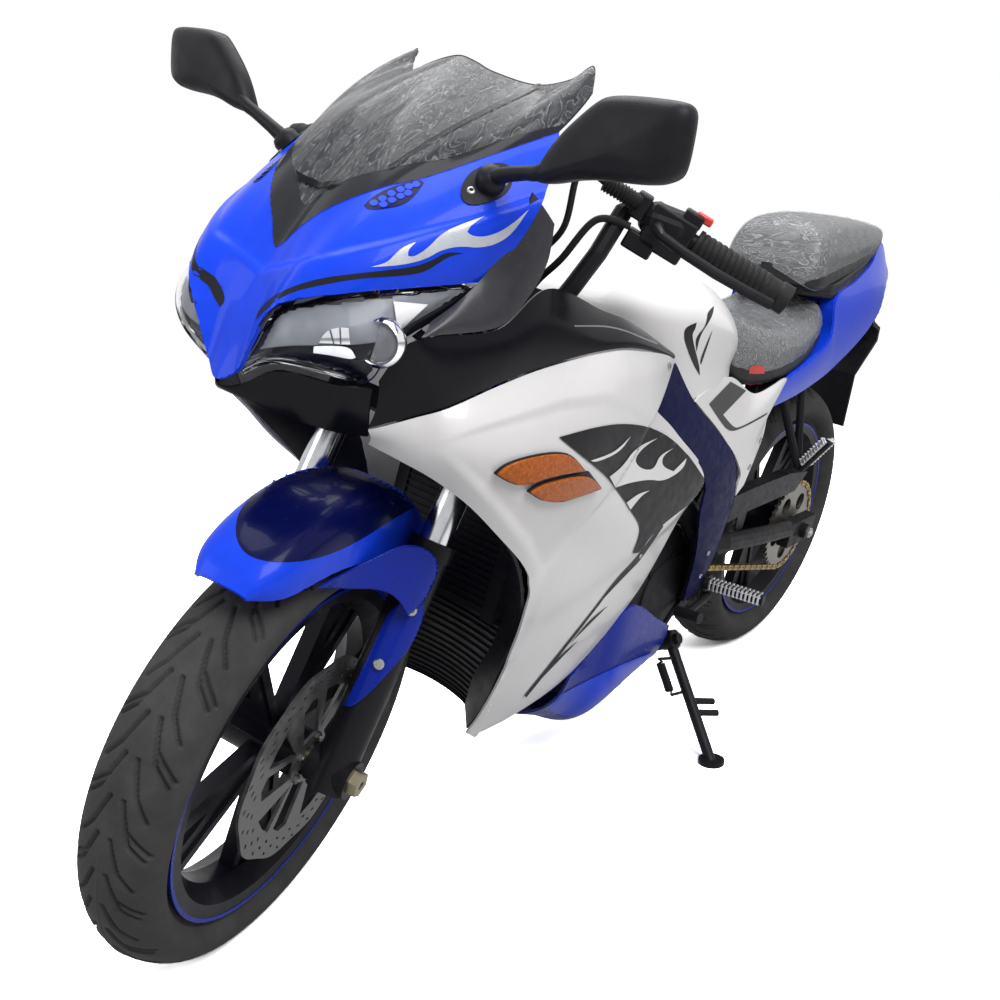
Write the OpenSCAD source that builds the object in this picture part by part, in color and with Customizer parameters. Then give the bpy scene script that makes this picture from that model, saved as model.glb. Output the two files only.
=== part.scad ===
// Sport bike, parked on its side stand with the bars turned a little to the left.
// Each sub-part is drawn upright, with X to the bike's left, Y to its rear and Z up from the ground,
// and the front end is then turned about its steering axis and the whole bike leaned onto the stand.

/* [Stance] */
// Distance between the two axles
wheelbase = 1400; // [1370:5:1430]
// Lean onto the side stand
lean = 11.3; // [9:0.1:13]
// Turn of the bars to the left as parked
bar_turn = 17; // [0:1:24]
// Rake of the steering axis from the vertical
rake = 26; // [24:0.5:27]
// Distance from the steering axis to the fork's plane
fork_offset = 36; // [32:1:40]

/* [Front wheel] */
// Outer radius of the front tyre
front_tyre_r = 293; // [286:1:296]
// Width of the front tyre
front_tyre_w = 110; // [100:2:112]
// Radius of the front brake disc
front_disc_r = 140; // [130:1:146]
// Thickness of both brake discs
disc_t = 4.5; // [4:0.5:5]

/* [Rear wheel] */
// Outer radius of the rear tyre
rear_tyre_r = 314; // [304:1:316]
// Width of the rear tyre
rear_tyre_w = 140; // [130:2:142]
// Radius of the rear brake disc
rear_disc_r = 110; // [104:1:114]
// Teeth of the rear sprocket
rear_teeth = 40; // [36:1:42]
// Teeth of the front sprocket
front_teeth = 14; // [13:1:15]
// Pitch of the drive chain
chain_pitch = 15.875; // [15.875]
// Distance of the chain's middle from the bike's middle
chain_x = 86; // [84:1:87]

/* [Wheels] */
// Radius of the rims over their lips
rim_r = 228; // [225:1:230]
// Spokes of each wheel
spokes = 5; // [5:1:6]
// Bore of the hollow axles
axle_bore = 11; // [9:0.5:12]
// Outer diameter of both axles
axle_d = 20; // [17:0.5:22]
// Clearance between an axle and its hub, on the radius
axle_fit = 0.3; // [0.2:0.05:0.5]

/* [Fork and bars] */
// Distance of each fork leg from the bike's middle
fork_x = 98; // [96:1:100]
// Diameter of the chromed fork tubes
tube_d = 41; // [37:1:43]
// Diameter of the fork sliders
slider_d = 54; // [50:1:56]
// Length of the sliders above the axle
slider_len = 300; // [280:5:310]
// Diameter of the rubber grips
grip_d = 34; // [31:0.5:36]
// Length of the rubber grips
grip_len = 122; // [112:2:126]
// Diameter of the handlebar tubes
bar_d = 22; // [20:0.5:24]

/* [Bodywork] */
// Thickness of the moulded panels
panel_wall = 3.5; // [2.5:0.5:4]
// Seam between neighbouring panels
seam = 0.8; // [0.6:0.1:1]

/* [Side stand] */
// Diameter of the stand's leg
stand_d = 20; // [18:1:24]
// Diameter of the stand's pivot bolt
stand_pin = 12; // [10:1:14]

/* [Hidden] */
$fn = 48;

// Main places, upright
front_y = -700;
rear_y = front_y + wheelbase;
front_axle_p = [0, front_y, front_tyre_r];
rear_axle_p = [0, rear_y, rear_tyre_r];
steer_dir = [0, sin(rake), cos(rake)];
steer_out = [0, -cos(rake), sin(rake)];
steer_p = front_axle_p - fork_offset * steer_out;
pivot_p = [0, 190, 385];
stand_p = [128, 146, 214];
stand_tilt = 31;
stand_axis = [cos(stand_tilt), 0, sin(stand_tilt)];
// Half section of a tyre from its bead to its crown: columns radius share and width share
tyre_half = [[0, 0.58], [0.2, 0.58], [0.25, 0.74], [0.36, 0.93], [0.50, 1], [0.66, 0.93], [0.80, 0.77],
    [0.91, 0.53], [0.98, 0.25], [1, 0]];
bead_r = rim_r - 12;
// Distance from a tyre's axle down to its lowest point when the wheel tilts
function reach(r, w, tilt) = max([for (p = tyre_half)
    (bead_r + (r - bead_r) * p[0]) * cos(tilt) + w / 2 * p[1] * sin(tilt)]);
function leaned(p) = [p[0] * cos(lean) + p[2] * sin(lean), p[1], p[2] * cos(lean) - p[0] * sin(lean)];
function steered(v) = v * cos(bar_turn) + cross(steer_dir, v) * sin(bar_turn)
    + steer_dir * (steer_dir * v) * (1 - cos(bar_turn));
front_tilt = asin(abs(leaned(steered([1, 0, 0]))[2]));
front_low = leaned(steer_p + steered(front_axle_p - steer_p))[2]
    - reach(front_tyre_r, front_tyre_w, front_tilt);
rear_low = leaned(rear_axle_p)[2] - reach(rear_tyre_r, rear_tyre_w, lean);
// The turned front wheel lets the front end down a little
pitch = asin((front_low - rear_low) / wheelbase / cos(lean));
lift = -rear_low - rear_y * sin(pitch) * cos(lean);
park = [-207, -44, lift];
foot_xy = [288, 82];
foot_p = [foot_xy[0], foot_xy[1], foot_xy[0] * tan(lean) - lift / cos(lean) - foot_xy[1] * sin(pitch)];

// Turns a profile drawn in (y, z) to stand in that plane, extruded along x
side_on = [[0, 0, 1, 0], [1, 0, 0, 0], [0, 1, 0, 0], [0, 0, 0, 1]];
// Gap at a seat between two pieces
seat_gap = 0.3;
function on_axis(s) = steer_p + steer_dir * s;
function on_fork(side, s) = [side * fork_x, 0, 0] + front_axle_p + steer_dir * s;

// Curves and skins: a skin's rows are [first edge point, second edge point, bulge at the middle]
function cr(a, b, c, d, t) = 0.5 * (2 * b + (c - a) * t + (2 * a - 5 * b + 4 * c - d) * t * t
    + (3 * b - a - 3 * c + d) * t * t * t);
function end_at(p, i) = p[max(0, min(len(p) - 1, i))];
function row_at(rows, u) = let (i = max(0, min(floor(u), len(rows) - 2)))
    cr(end_at(rows, i - 1), rows[i], rows[i + 1], end_at(rows, i + 2), u - i);
function skin(rows, u, t) = let (r = row_at(rows, u)) r[0] + (r[1] - r[0]) * t + r[2] * 4 * t * (1 - t);
function unit(v) = v / norm(v);
function skin_of(rows) = function (u, t) skin(rows, u, t);
// The whole skin across the bike: t runs from the left edge, 0, over the middle, 1, to the right edge, 2
function across_of(rows) = function (u, t) t <= 1 ? skin(rows, u, t) : mirrored(skin(rows, u, 2 - t));
function out_of(f, u, t, e = 0.01) = unit(cross(f(u + e, t) - f(u - e, t), f(u, t + e) - f(u, t - e)));
function span(a, b, n) = [for (k = [0 : n]) a + (b - a) * k / n];
function flip(rows) = [for (r = rows) [r[1], r[0], r[2]]];
function mirrored(p) = [-p[0], p[1], p[2]];
function mirror_row(r) = [mirrored(r[0]), mirrored(r[1]), mirrored(r[2])];
function both_sides(rows) = concat([for (i = [len(rows) - 1 : -1 : 1]) mirror_row(rows[i])], rows);

// A closed sheet between two equal grids of points, the outer one first
module sheet(outer, inner) {
    nu = len(outer);
    nv = len(outer[0]);
    m = nu * nv;
    pts = concat([for (r = outer) each r], [for (r = inner) each r]);
    function id(i, j) = i * nv + j;
    function quad(a, b, c, d) = [[a, b, c], [a, c, d]];
    top = [for (i = [0 : nu - 2], j = [0 : nv - 2])
        each quad(id(i, j), id(i, j + 1), id(i + 1, j + 1), id(i + 1, j))];
    low = [for (i = [0 : nu - 2], j = [0 : nv - 2])
        each quad(m + id(i, j), m + id(i + 1, j), m + id(i + 1, j + 1), m + id(i, j + 1))];
    ends = [for (i = [0 : nu - 2]) each concat(
        quad(id(i, 0), id(i + 1, 0), m + id(i + 1, 0), m + id(i, 0)),
        quad(id(i + 1, nv - 1), id(i, nv - 1), m + id(i, nv - 1), m + id(i + 1, nv - 1)))];
    sides = [for (j = [0 : nv - 2]) each concat(
        quad(id(0, j + 1), id(0, j), m + id(0, j), m + id(0, j + 1)),
        quad(id(nu - 1, j), id(nu - 1, j + 1), m + id(nu - 1, j + 1), m + id(nu - 1, j)))];
    polyhedron(pts, concat(top, low, ends, sides));
}

// A moulded panel on a skin f(u, t), its outer face raised by rise
module panel(f, us, ts, rise = 0, wall = panel_wall) {
    outer = [for (u = us) [for (t = ts) f(u, t) + out_of(f, u, t) * rise]];
    inner = [for (u = us) [for (t = ts) f(u, t) + out_of(f, u, t) * (rise - wall)]];
    sheet(outer, inner);
}

// A closed body through half sections that run from the top middle down the left to the bottom middle
module body(rings) {
    nu = len(rings);
    nv = len(rings[0]);
    function id(i, j) = i * nv + j % nv;
    walls = [for (i = [0 : nu - 2], j = [0 : nv - 1])
        each [[id(i, j), id(i + 1, j), id(i + 1, j + 1)], [id(i, j), id(i + 1, j + 1), id(i, j + 1)]]];
    polyhedron([for (r = rings) each r], concat(walls,
        [[for (j = [0 : nv - 1]) j]], [[for (j = [nv - 1 : -1 : 0]) id(nu - 1, j)]]));
}
function ring(y, half) = concat([for (p = half) [p[0], y, p[1]]],
    [for (i = [len(half) - 2 : -1 : 1]) [-half[i][0], y, half[i][1]]]);

module rod(p, q, d) {
    v = q - p;
    translate(p) rotate([0, acos(v[2] / norm(v)), atan2(v[1], v[0])]) cylinder(h = norm(v), d = d);
}
// A round tube bent smoothly through its points; ref is any direction that the tube never runs along
module tube(pts, d, ref = [1, 0, 0], steps = 2, sides = 10) {
    us = span(0, len(pts) - 1, (len(pts) - 1) * steps);
    function along(u) = let (e = 0.05)
        unit(row_at(pts, min(len(pts) - 1, u + e)) - row_at(pts, max(0, u - e)));
    rings = [for (u = us) let (p = row_at(pts, u), a = along(u), s = unit(cross(a, ref)), n = cross(s, a))
        [for (k = [0 : sides - 1]) p + d / 2 * (cos(k * 360 / sides) * s - sin(k * 360 / sides) * n)]];
    body(rings);
}
module across(x, p, d, w) translate([x, p[1], p[2]]) rotate([0, 90, 0]) cylinder(h = w, d = d, center = true);
module pair() {
    children();
    mirror([1, 0, 0]) children();
}
module parked() translate(park) rotate([0, lean, 0]) rotate([pitch, 0, 0]) children();
module turned() parked() translate(steer_p) rotate(a = bar_turn, v = steer_dir)
    translate(-steer_p) children();
module at_front() turned() translate(front_axle_p) children();
module at_rear() parked() translate(rear_axle_p) children();
module on_steer(s) turned() translate(on_axis(s)) rotate([-rake, 0, 0]) children();

// Bodywork skins, left half
cowl_rows = [
    [[0, -800, 772], [0, -731, 908], [0, -4, 0]],
    [[24, -792, 786], [24, -719, 934], [0, -6, 2]],
    [[45, -791, 821], [50, -703, 958], [2, -6, 2]],
    [[75, -784, 865], [85, -668, 984], [6, -8, 2]],
    [[125, -736, 886], [110, -629, 1000], [12, -8, 0]],
    [[155, -674, 896], [145, -563, 1033], [16, -6, 2]],
    [[180, -593, 905], [168, -492, 1063], [23, -3, 5]]];
screen_top = [[0, -479, 1131], [26, -480, 1126], [55, -478, 1117], [98, -455, 1110], [126, -428, 1121],
    [141, -408, 1139], [162, -432, 1110]];
screen_bulge = [[0, -10, 15], [3, -10, 15], [6, -9, 13], [10, -8, 10], [10, -7, 7], [9, -5, 5], [4, 0, 2]];
screen_rows = [for (i = [0 : 6]) [cowl_rows[i][1] + [0, 0, seam], screen_top[i], screen_bulge[i]]];
lens_low = [[24, -786, 779], [58, -768, 799], [95, -721, 790], [127, -702, 791], [153, -690, 834],
    [177, -603, 899]];
lens_drop = [0, 3.4, -4.6];
lens_rows = [for (i = [0 : 5]) [cowl_rows[i + 1][0] + lens_drop, lens_low[i], [6, -6, 0] * sin(180 * i / 5)]];
chin_low = [[0, -790, 757], [30, -773, 749], [60, -735, 733], [85, -699, 722], [119, -687, 726]];
chin_top = [[0, -796, 764], [24, -784, 770], [58, -764, 790], [95, -718, 781], [130, -698, 783]];
chin_rows = [for (i = [0 : 4]) [chin_low[i], chin_top[i], [0, -2, 0]]];
fairing_rows = [
    [[124, -692, 735], [112, -678, 714], [4, 0, 0]],
    [[165, -665, 758], [150, -664, 704], [14, 0, 0]],
    [[190, -642, 773], [180, -640, 688], [22, 0, 0]],
    [[204, -575, 796], [200, -596, 655], [30, 0, 0]],
    [[210, -503, 811], [213, -548, 610], [32, 0, 0]],
    [[208, -388, 819], [212, -500, 570], [34, 0, 0]],
    [[202, -295, 814], [206, -468, 540], [33, 0, 0]],
    [[188, -170, 787], [204, -458, 522], [30, 0, 0]],
    [[186, -206, 734], [202, -450, 505], [28, 0, 0]],
    [[188, -116, 675], [198, -446, 480], [24, 0, 0]],
    [[184, 29, 574], [188, -440, 440], [20, 0, 0]],
    [[177, -20, 506], [178, -434, 405], [18, 0, 0]],
    [[172, -100, 385], [165, -428, 360], [16, 0, 0]],
    [[150, -222, 280], [146, -426, 308], [12, 0, 0]],
    [[135, -330, 240], [130, -425, 268], [6, 0, 0]],
    [[122, -412, 230], [118, -428, 242], [2, 0, 0]]];
mid_top = [[136, -696, 794], [162, -690, 836], [178, -664, 849], [199, -586, 858], [194, -500, 898],
    [186, -369, 866], [183, -290, 846], [176, -160, 798]];
mid_rows = [for (i = [0 : 7]) [fairing_rows[i][0] + [0, 0, 3.5 * seam], mid_top[i], [5, 0, 0]]];
insert_rows = [
    [[174, -680, 848], [169, -664, 862], [2, 0, 0]],
    [[181, -664, 851], [176, -632, 884], [4, 0, 0]],
    [[201, -588, 861], [186, -588, 905], [4, 0, 0]],
    [[203, -545, 895], [193, -570, 936], [4, 0, 0]],
    [[203, -523, 930], [199, -552, 966], [3, 0, 0]],
    [[202, -520, 970], [200, -541, 995], [1, 0, 0]]];
cover_rows = [
    [[180, -162, 780], [176, -138, 778], [1, 0, 0]],
    [[178, -200, 735], [172, -51, 712], [3, 0, 0]],
    [[180, -110, 672], [168, 56, 650], [5, 0, 0]],
    [[177, 36, 574], [165, 162, 583], [5, 0, 0]],
    [[172, 62, 500], [160, 210, 500], [5, 0, 0]],
    [[164, 95, 430], [155, 212, 437], [4, 0, 0]],
    [[154, 119, 377], [149, 200, 363], [3, 0, 0]],
    [[140, 140, 300], [142, 178, 310], [1, 0, 0]]];
side_rows = [
    [[171, -40, 708], [168, -24, 714], [0, 0, 0]],
    [[167, 58, 654], [146, 113, 727], [2, 0, 0]],
    [[165, 116, 618], [142, 239, 684], [3, 0, 0]],
    [[163, 166, 586], [140, 366, 700], [4, 0, 0]],
    [[160, 214, 545], [142, 318, 645], [3, 0, 0]],
    [[158, 218, 520], [147, 303, 590], [2, 0, 0]],
    [[157, 222, 498], [153, 256, 512], [0, 0, 0]]];
tail_rows = [
    [[136, 322, 644], [139, 372, 699], [2, 0, 0]],
    [[124, 470, 652], [132, 480, 722], [4, 0, 0]],
    [[110, 614, 668], [122, 585, 760], [5, 0, 0]],
    [[102, 700, 686], [108, 600, 836], [7, 0, 0]],
    [[90, 830, 722], [92, 720, 862], [8, 0, 0]],
    [[78, 930, 757], [74, 840, 895], [8, 0, 0]],
    [[66, 1000, 795], [48, 940, 938], [6, 0, 0]],
    [[44, 1056, 862], [34, 1045, 892], [2, 0, 0]]];
inner_rows = [
    [[173, -631, 688], [156, -470, 690], [0, 0, 0]],
    [[193, -589, 654], [150, -446, 640], [0, 0, 0]],
    [[203, -499, 568], [134, -425, 560], [0, 0, 0]],
    [[189, -443, 470], [132, -405, 460], [0, 0, 0]],
    [[167, -431, 390], [124, -400, 390], [0, 0, 0]],
    [[139, -421, 300], [84, -384, 305], [0, 0, 0]],
    [[113, -421, 244], [74, -382, 250], [0, 0, 0]]];
belly_rows = [
    [[140, 104, 262], [0, 94, 130], [34, 0, -26]],
    [[152, 30, 302], [0, 20, 108], [36, 0, -44]],
    [[167.2, -98, 371], [0, -100, 112], [44, 0, -84]],
    [[157, -160, 325], [0, -150, 116], [36, 0, -44]],
    [[147, -218, 270.6], [0, -190, 124], [24, 0, -14]]];

// Frame, engine and running gear
head_low = 478;
head_high = 592;
main_path = [on_axis(540) + [0, 14, 0], [78, -318, 736], [120, -120, 640], [124, 120, 470], [122, 190, 385],
    [120, 190, 290]];
sub_path = [[122, -20, 560], [106, 50, 596], [98, 260, 650], [84, 600, 715], [56, 930, 830]];
strut_path = [[124, 112, 476], [108, 210, 545], [96, 420, 640], [90, 470, 684]];
// A stay that ends just short of a panel's inner face
module tab(p, f, u, t, d = 10, wall = panel_wall) {
    n = out_of(f, u, t);
    e = f(u, t) - n * (wall + 1.5 * seat_gap);
    slant = sqrt(1 - pow(unit(e - p) * n, 2));
    rod(p, e - n * d / 2 * slant, d);
}
module main_frame() color("#1c1d20") parked() difference() {
    union() {
        rod(on_axis(head_low), on_axis(head_high), 62);
        pair() {
            tube(main_path, 44);
            tube([on_axis(512) + [0, 14, 0], [44, -345, 640], [100, -190, 565], [122, 120, 470]], 30);
            tube([[118, 30, 545], [64, 150, 612], [0, 204, 622]], 26);
            rod([82, -186, 535], [98, -190, 566], 24);
            across((engine_x + seat_gap + 112) / 2, [0, 118, 461], 26, 112 - engine_x - seat_gap);
            across((swing_x + seat_gap + 106) / 2, pivot_p, 40, 106 - swing_x - seat_gap);
            translate([112, -80, 610]) cylinder(h = 688.6 - 610, d = 30);
            rod([46, -343, 638], [46, -350, 585], 16);
            tab([121, -122, 641], skin_of(flip(fairing_rows)), 9, 0.85);
            tab([112, 190, 284], skin_of(belly_rows), 0.35, 0.08);
        }
        across(0, pivot_p, pivot_d, 212);
        across(0, [0, 190, 290], 34, 230);
        rod(shock_top + shock_dir * seat_gap, shock_top + shock_dir * 26, 40);
        rod([82, 190, 290], stand_p - stand_axis * (lug_w / 2 + 24), 26);
        rod(stand_p - stand_axis * (lug_w / 2 + 34), stand_p - stand_axis * (lug_w / 2 + 0.6), 34);
        rod(stand_p - stand_axis * (lug_w / 2 + 8), stand_p + stand_axis * (lug_w / 2 + 2), stand_pin);
        rod(stand_p + stand_axis * (lug_w / 2 + 0.6), stand_p + stand_axis * (lug_w / 2 + 9), stand_pin + 8);
    }
    rod(on_axis(head_low - 1), on_axis(head_high + 1), stem_d + 2 * seat_gap);
    cylinder_block(2 * seat_gap);
    radiator_box(2 * seat_gap);
}
module subframe() color("#1c1d20") parked() difference() {
    union() {
        pair() {
            tube(sub_path, 24);
            tube(strut_path, 20);
            translate([96, 320, 656]) cylinder(h = 687.4 - 656, d = 24);
            translate([88, 510, 690]) cylinder(h = 720.8 - 690, d = 24);
            tube([[77, 700, 752], [60, 700, 800], [54, 700, 877.6]], 16);
            tab([90, 475, 690], skin_of(tail_rows), 1, 0.5);
            tab([100, 160, 622], skin_of(side_rows), 2, 0.45);
            tab([64, 850, 801], skin_of(tail_rows), 4.6, 0.5);
        }
        across(0, [0, 300, 660], 18, 190);
        across(0, [0, 640, 728], 18, 160);
        across(0, [0, 900, 818], 18, 116);
    }
    pair() tube(main_path, 44 + 2 * seat_gap);
}
engine_x = 68;
shaft_d = 21.4;
module engine() color("#2b2c2f") parked() {
    translate([0, -95, 320]) cube([210, 280, 150], center = true);
    cylinder_block(0);
    translate([0, 60, 400]) cube([2 * engine_x, 160, 130], center = true);
    rod([60, 0, 0] + front_sprocket_p, [100, 0, 0] + front_sprocket_p, shaft_d);
    across(112, [0, -150, 310], 150, 40);
    across(-112, [0, -120, 318], 168, 36);
    across(100, front_sprocket_p, 110, 9);
    across(100, [0, 40, 378], 90, 9);
}
module at_radiator() translate([0, -372, 500]) rotate([-12, 0, 0]) children();
module radiator_box(grow) at_radiator() {
    cube([200 + grow, 26 + grow, 180 + grow], center = true);
    for (s = [-1, 1]) translate([s * 108, 0, 0]) cube([22 + grow, 34 + grow, 190 + grow], center = true);
}
module radiator() color("#232427") parked() {
    radiator_box(0);
    at_radiator() for (k = [-8 : 8]) translate([0, 0, k * 10]) cube([200, 32, 2.4], center = true);
}
module cylinder_block(grow) translate([0, -190, 440]) rotate([-18, 0, 0]) {
    cube([190 + grow, 150 + grow, 200 + grow], center = true);
    for (k = [0 : 5]) translate([0, 0, -70 + k * 26]) cube([206 + grow, 166 + grow, 8 + grow], center = true);
}
module exhaust() color("#5b5c60") parked() difference() {
    union() {
        for (x = [-52, 52])
            tube([[x, -250, 448], [x, -330, 410], [x * 0.9, -338, 300], [x * 0.7 - 14, -260, 190],
                [x * 0.3 - 30, -60, 170]], 36);
        tube([[-30, -70, 170], [-46, 120, 176], [-140, 290, 220], [-198, 450, 312]], 46);
        rod([-200, 430, 302], [-212, 800, 470], 104);
    }
    cylinder_block(0.6);
    rod([-211, 780, 461], [-213, 820, 479], 60);
}
arm_x = chain_x + 27;
swing_x = 75;
pivot_d = 16;
module arm_tube(grow)
    tube([[72, 190, 385], [arm_x, 318, 366], [arm_x, rear_y - 60, rear_tyre_r + 12]], 37 + grow);
module swingarm() color("#202124") parked() difference() {
    union() {
        across(0, pivot_p, 46, 2 * swing_x);
        rod(shock_low - shock_dir * 34, shock_low - shock_dir * seat_gap, 36);
        rod([0, 318, 362], shock_low - shock_dir * 24, 28);
        pair() {
            arm_tube(0);
            translate([arm_x, rear_y - 6, rear_tyre_r]) cube([26, 130, 56], center = true);
        }
        across(0, [0, 318, 362], 40, 2 * arm_x);
        across(0, rear_axle_p, axle_d, 2 * arm_x + 42);
        pair() across(arm_x + 18, rear_axle_p, 34, 12);
    }
    across(0, rear_axle_p, axle_bore, 400);
    across(0, pivot_p, pivot_d + 2 * seat_gap, 400);
    pair() across(swing_x + 20, pivot_p, 40 + 2 * seat_gap, 40);
    pair() across(arm_x, rear_axle_p + [0, -46, 0], 8, 60);
}
shock_top = [0, 214, 600];
shock_low = [0, 262, 402];
shock_dir = unit(shock_top - shock_low);
coils = 7;
module rear_shock() color("#2a2b30") parked() {
    v = shock_top - shock_low;
    translate(shock_low) rotate([0, acos(v[2] / norm(v)), atan2(v[1], v[0])]) rotate_extrude() {
        pitch = 150 / coils;
        polygon(concat([[0, 0], [20, 0], [20, 14], [34, 20]],
            [for (k = [0 : coils - 1])
                each [[27, 24 + k * pitch], [35, 24 + (k + 0.3) * pitch], [35, 24 + (k + 0.7) * pitch]]],
            [[27, 24 + 150], [34, 180], [18, 186], [18, norm(v)], [0, norm(v)]]));
    }
}

function pitch_r(n) = chain_pitch / (2 * sin(180 / n));
front_sprocket_p = [0, 104, 392];
chain_run = norm([rear_y - front_sprocket_p[1], rear_tyre_r - front_sprocket_p[2]]);
chain_slope = atan2(rear_tyre_r - front_sprocket_p[2], rear_y - front_sprocket_p[1]);
chain_wrap = asin((pitch_r(rear_teeth) - pitch_r(front_teeth)) / chain_run);
function arc(c, r, a, b, n) = [for (t = span(a, b, n)) c + r * [cos(t), sin(t)]];
// Band round both sprockets at a distance from the chain's pitch line, front sprocket at the origin
module band(d) polygon(concat(
    arc([0, 0], pitch_r(front_teeth) + d, 90 + chain_wrap, 270 - chain_wrap, 12),
    arc([chain_run, 0], pitch_r(rear_teeth) + d, -90 - chain_wrap, 90 + chain_wrap, 32)));
plate_h = 14;
plate_t = 2.4;
plate_gap = 9;
sprocket_t = plate_gap - 1.4;
module at_chain() parked() translate(front_sprocket_p) rotate([chain_slope, 0, 0])
    multmatrix(side_on) children();
module drive_chain() color("#b08a3a") at_chain() {
    for (s = [-1, 1]) translate([0, 0, chain_x + s * (plate_gap + plate_t) / 2 - plate_t / 2])
        linear_extrude(plate_t) difference() {
            band(plate_h / 2);
            band(-plate_h / 2);
        }
    translate([0, 0, chain_x - sprocket_t / 2]) linear_extrude(sprocket_t) difference() {
        circle(r = pitch_r(front_teeth) - plate_h / 2 + 0.6);
        circle(d = shaft_d + 2 * seat_gap);
    }
}
// Places in (y, z) from the rear axle, and the height of the swingarm's middle
function at_axle(p) = [rear_y, rear_tyre_r] + p;
function arm_z(y) = 366 + (rear_tyre_r + 12 - 366) * (y - 318) / (rear_y - 60 - 318);
guard_t = 6;
foot_rise = [17.4, 14.6];
guard_top = [for (p = [[-400, 138], [-280, 143], [-100, 145], [0, 133]]) at_axle(p)];
guard_skirt = [[-50, 96], [-280, 94], [-370, 86]];
module chain_guard() color("#17181a") parked() {
    union() {
        translate([chain_x - 10, 0, 0]) multmatrix(side_on) linear_extrude(24)
            polygon(concat(guard_top, [for (i = [3 : -1 : 0]) guard_top[i] - [0, guard_t]]));
        translate([chain_x + 14, 0, 0]) multmatrix(side_on) linear_extrude(3.5) {
            polygon(concat(guard_top, [for (p = guard_skirt) at_axle(p)]));
            polygon([at_axle([-320, 96]), at_axle([-280, 96]), [416, arm_z(416) + foot_rise[0]],
                [384, arm_z(384) + foot_rise[1]]]);
        }
    }
}

// Tank, seats and bodywork
// Columns: y, half width, top, shoulder, bottom
tank_sections = [[-318, 62, 864, 842, 800], [-284, 114, 884, 850, 762], [-200, 156, 900, 846, 715],
    [-80, 168, 903, 836, 690], [40, 160, 892, 812, 690], [120, 142, 868, 790, 700], [172, 112, 838, 770, 720]];
function tank_half(s) = let (w = s[1], t = s[2], m = s[3], b = s[4])
    [[0, t], [w * 0.45, t - (t - m) * 0.10], [w * 0.8, t - (t - m) * 0.45], [w, m],
     [w * 0.97, m - (m - b) * 0.5], [w * 0.9, b], [0, b]];
module fuel_tank() color("#f2f2f0") parked()
    body([for (u = span(0, 6, 18)) let (s = row_at(tank_sections, u)) ring(s[0], tank_half(s))]);

// Columns: y, half width, top, bottom
rider_sections = [[178, 74, 836, 744], [225, 108, 818, 696], [320, 126, 800, 690], [420, 124, 796, 702],
    [510, 114, 804, 724], [572, 100, 828, 744]];
pillion_sections = [[482, 84, 900, 858], [512, 100, 960, 850], [580, 98, 982, 858], [700, 88, 984, 880],
    [830, 74, 980, 906], [920, 54, 972, 936], [958, 38, 958, 944]];
function pad_half(s) = let (w = s[1], t = s[2], b = s[3], h = t - b)
    [[0, t], [w * 0.5, t - h * 0.04], [w * 0.82, t - h * 0.14], [w * 0.98, t - h * 0.42], [w, t - h * 0.7],
     [w * 0.94, b], [0, b]];
module pad(sections, steps) body([for (u = span(0, len(sections) - 1, steps))
    let (s = row_at(sections, u)) ring(s[0], pad_half(s))]);
module rider_seat() color("#1b1b1d") parked() pad(rider_sections, 15);
module pillion_seat() color("#1b1b1d") parked() pad(pillion_sections, 18);

module upper_cowl() color("#1f4be0") parked()
    panel(skin_of(both_sides(cowl_rows)), span(0, 12, 24), span(0, 1, 6));
module windscreen() color("#3a3c40") parked()
    panel(skin_of(both_sides(screen_rows)), span(0, 12, 24), span(0, 1, 6));
module cowl_inserts() color("#3b3c40") parked() pair()
    panel(skin_of(insert_rows), span(0, 5, 10), span(0, 1, 4));
module lower_cowl() color("#1a1b1d") parked() {
    panel(skin_of(both_sides(chin_rows)), span(0, 8, 16), span(0, 1, 4));
    pair() panel(skin_of(mid_rows), span(0, 7, 14), span(0, 1, 4));
}
module headlight_lenses() color("#d8dde2") parked() pair()
    panel(skin_of(flip(lens_rows)), span(0, 5, 15), span(0, 1, 6));
lamp_depth = 40;
bowl_wall = 4;
lens_f = skin_of(flip(lens_rows));
// The lamp's bowl: seated on the back of the lens round its rim and deepest in the middle
bowl_us = [0.4, 4.6];
bowl_ts = [0.04, 0.96];
function bump(x, ends) = sin(180 * (x - ends[0]) / (ends[1] - ends[0]));
bowl_f = function (u, t) lens_f(u, t) - out_of(lens_f, u, t)
    * (panel_wall + seam + 3 * seat_gap + lamp_depth * sqrt(max(0, bump(u, bowl_us) * bump(t, bowl_ts))));
lamp_n = out_of(lens_f, 2.7, 0.5);
lamp_p = lens_f(2.7, 0.5);
module headlight_housing() color("#4a4b4e") parked() pair() {
    panel(bowl_f, span(bowl_us[0], bowl_us[1], 12), span(bowl_ts[0], bowl_ts[1], 6), 0, bowl_wall);
    rod(lamp_p - lamp_n * (lamp_depth - 4), lamp_p - lamp_n * 12, 46);
}
module side_fairings() color("#f0f0ee") parked() pair()
    panel(skin_of(flip(fairing_rows)), span(0, 15, 30), span(0, 1, 7));
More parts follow.
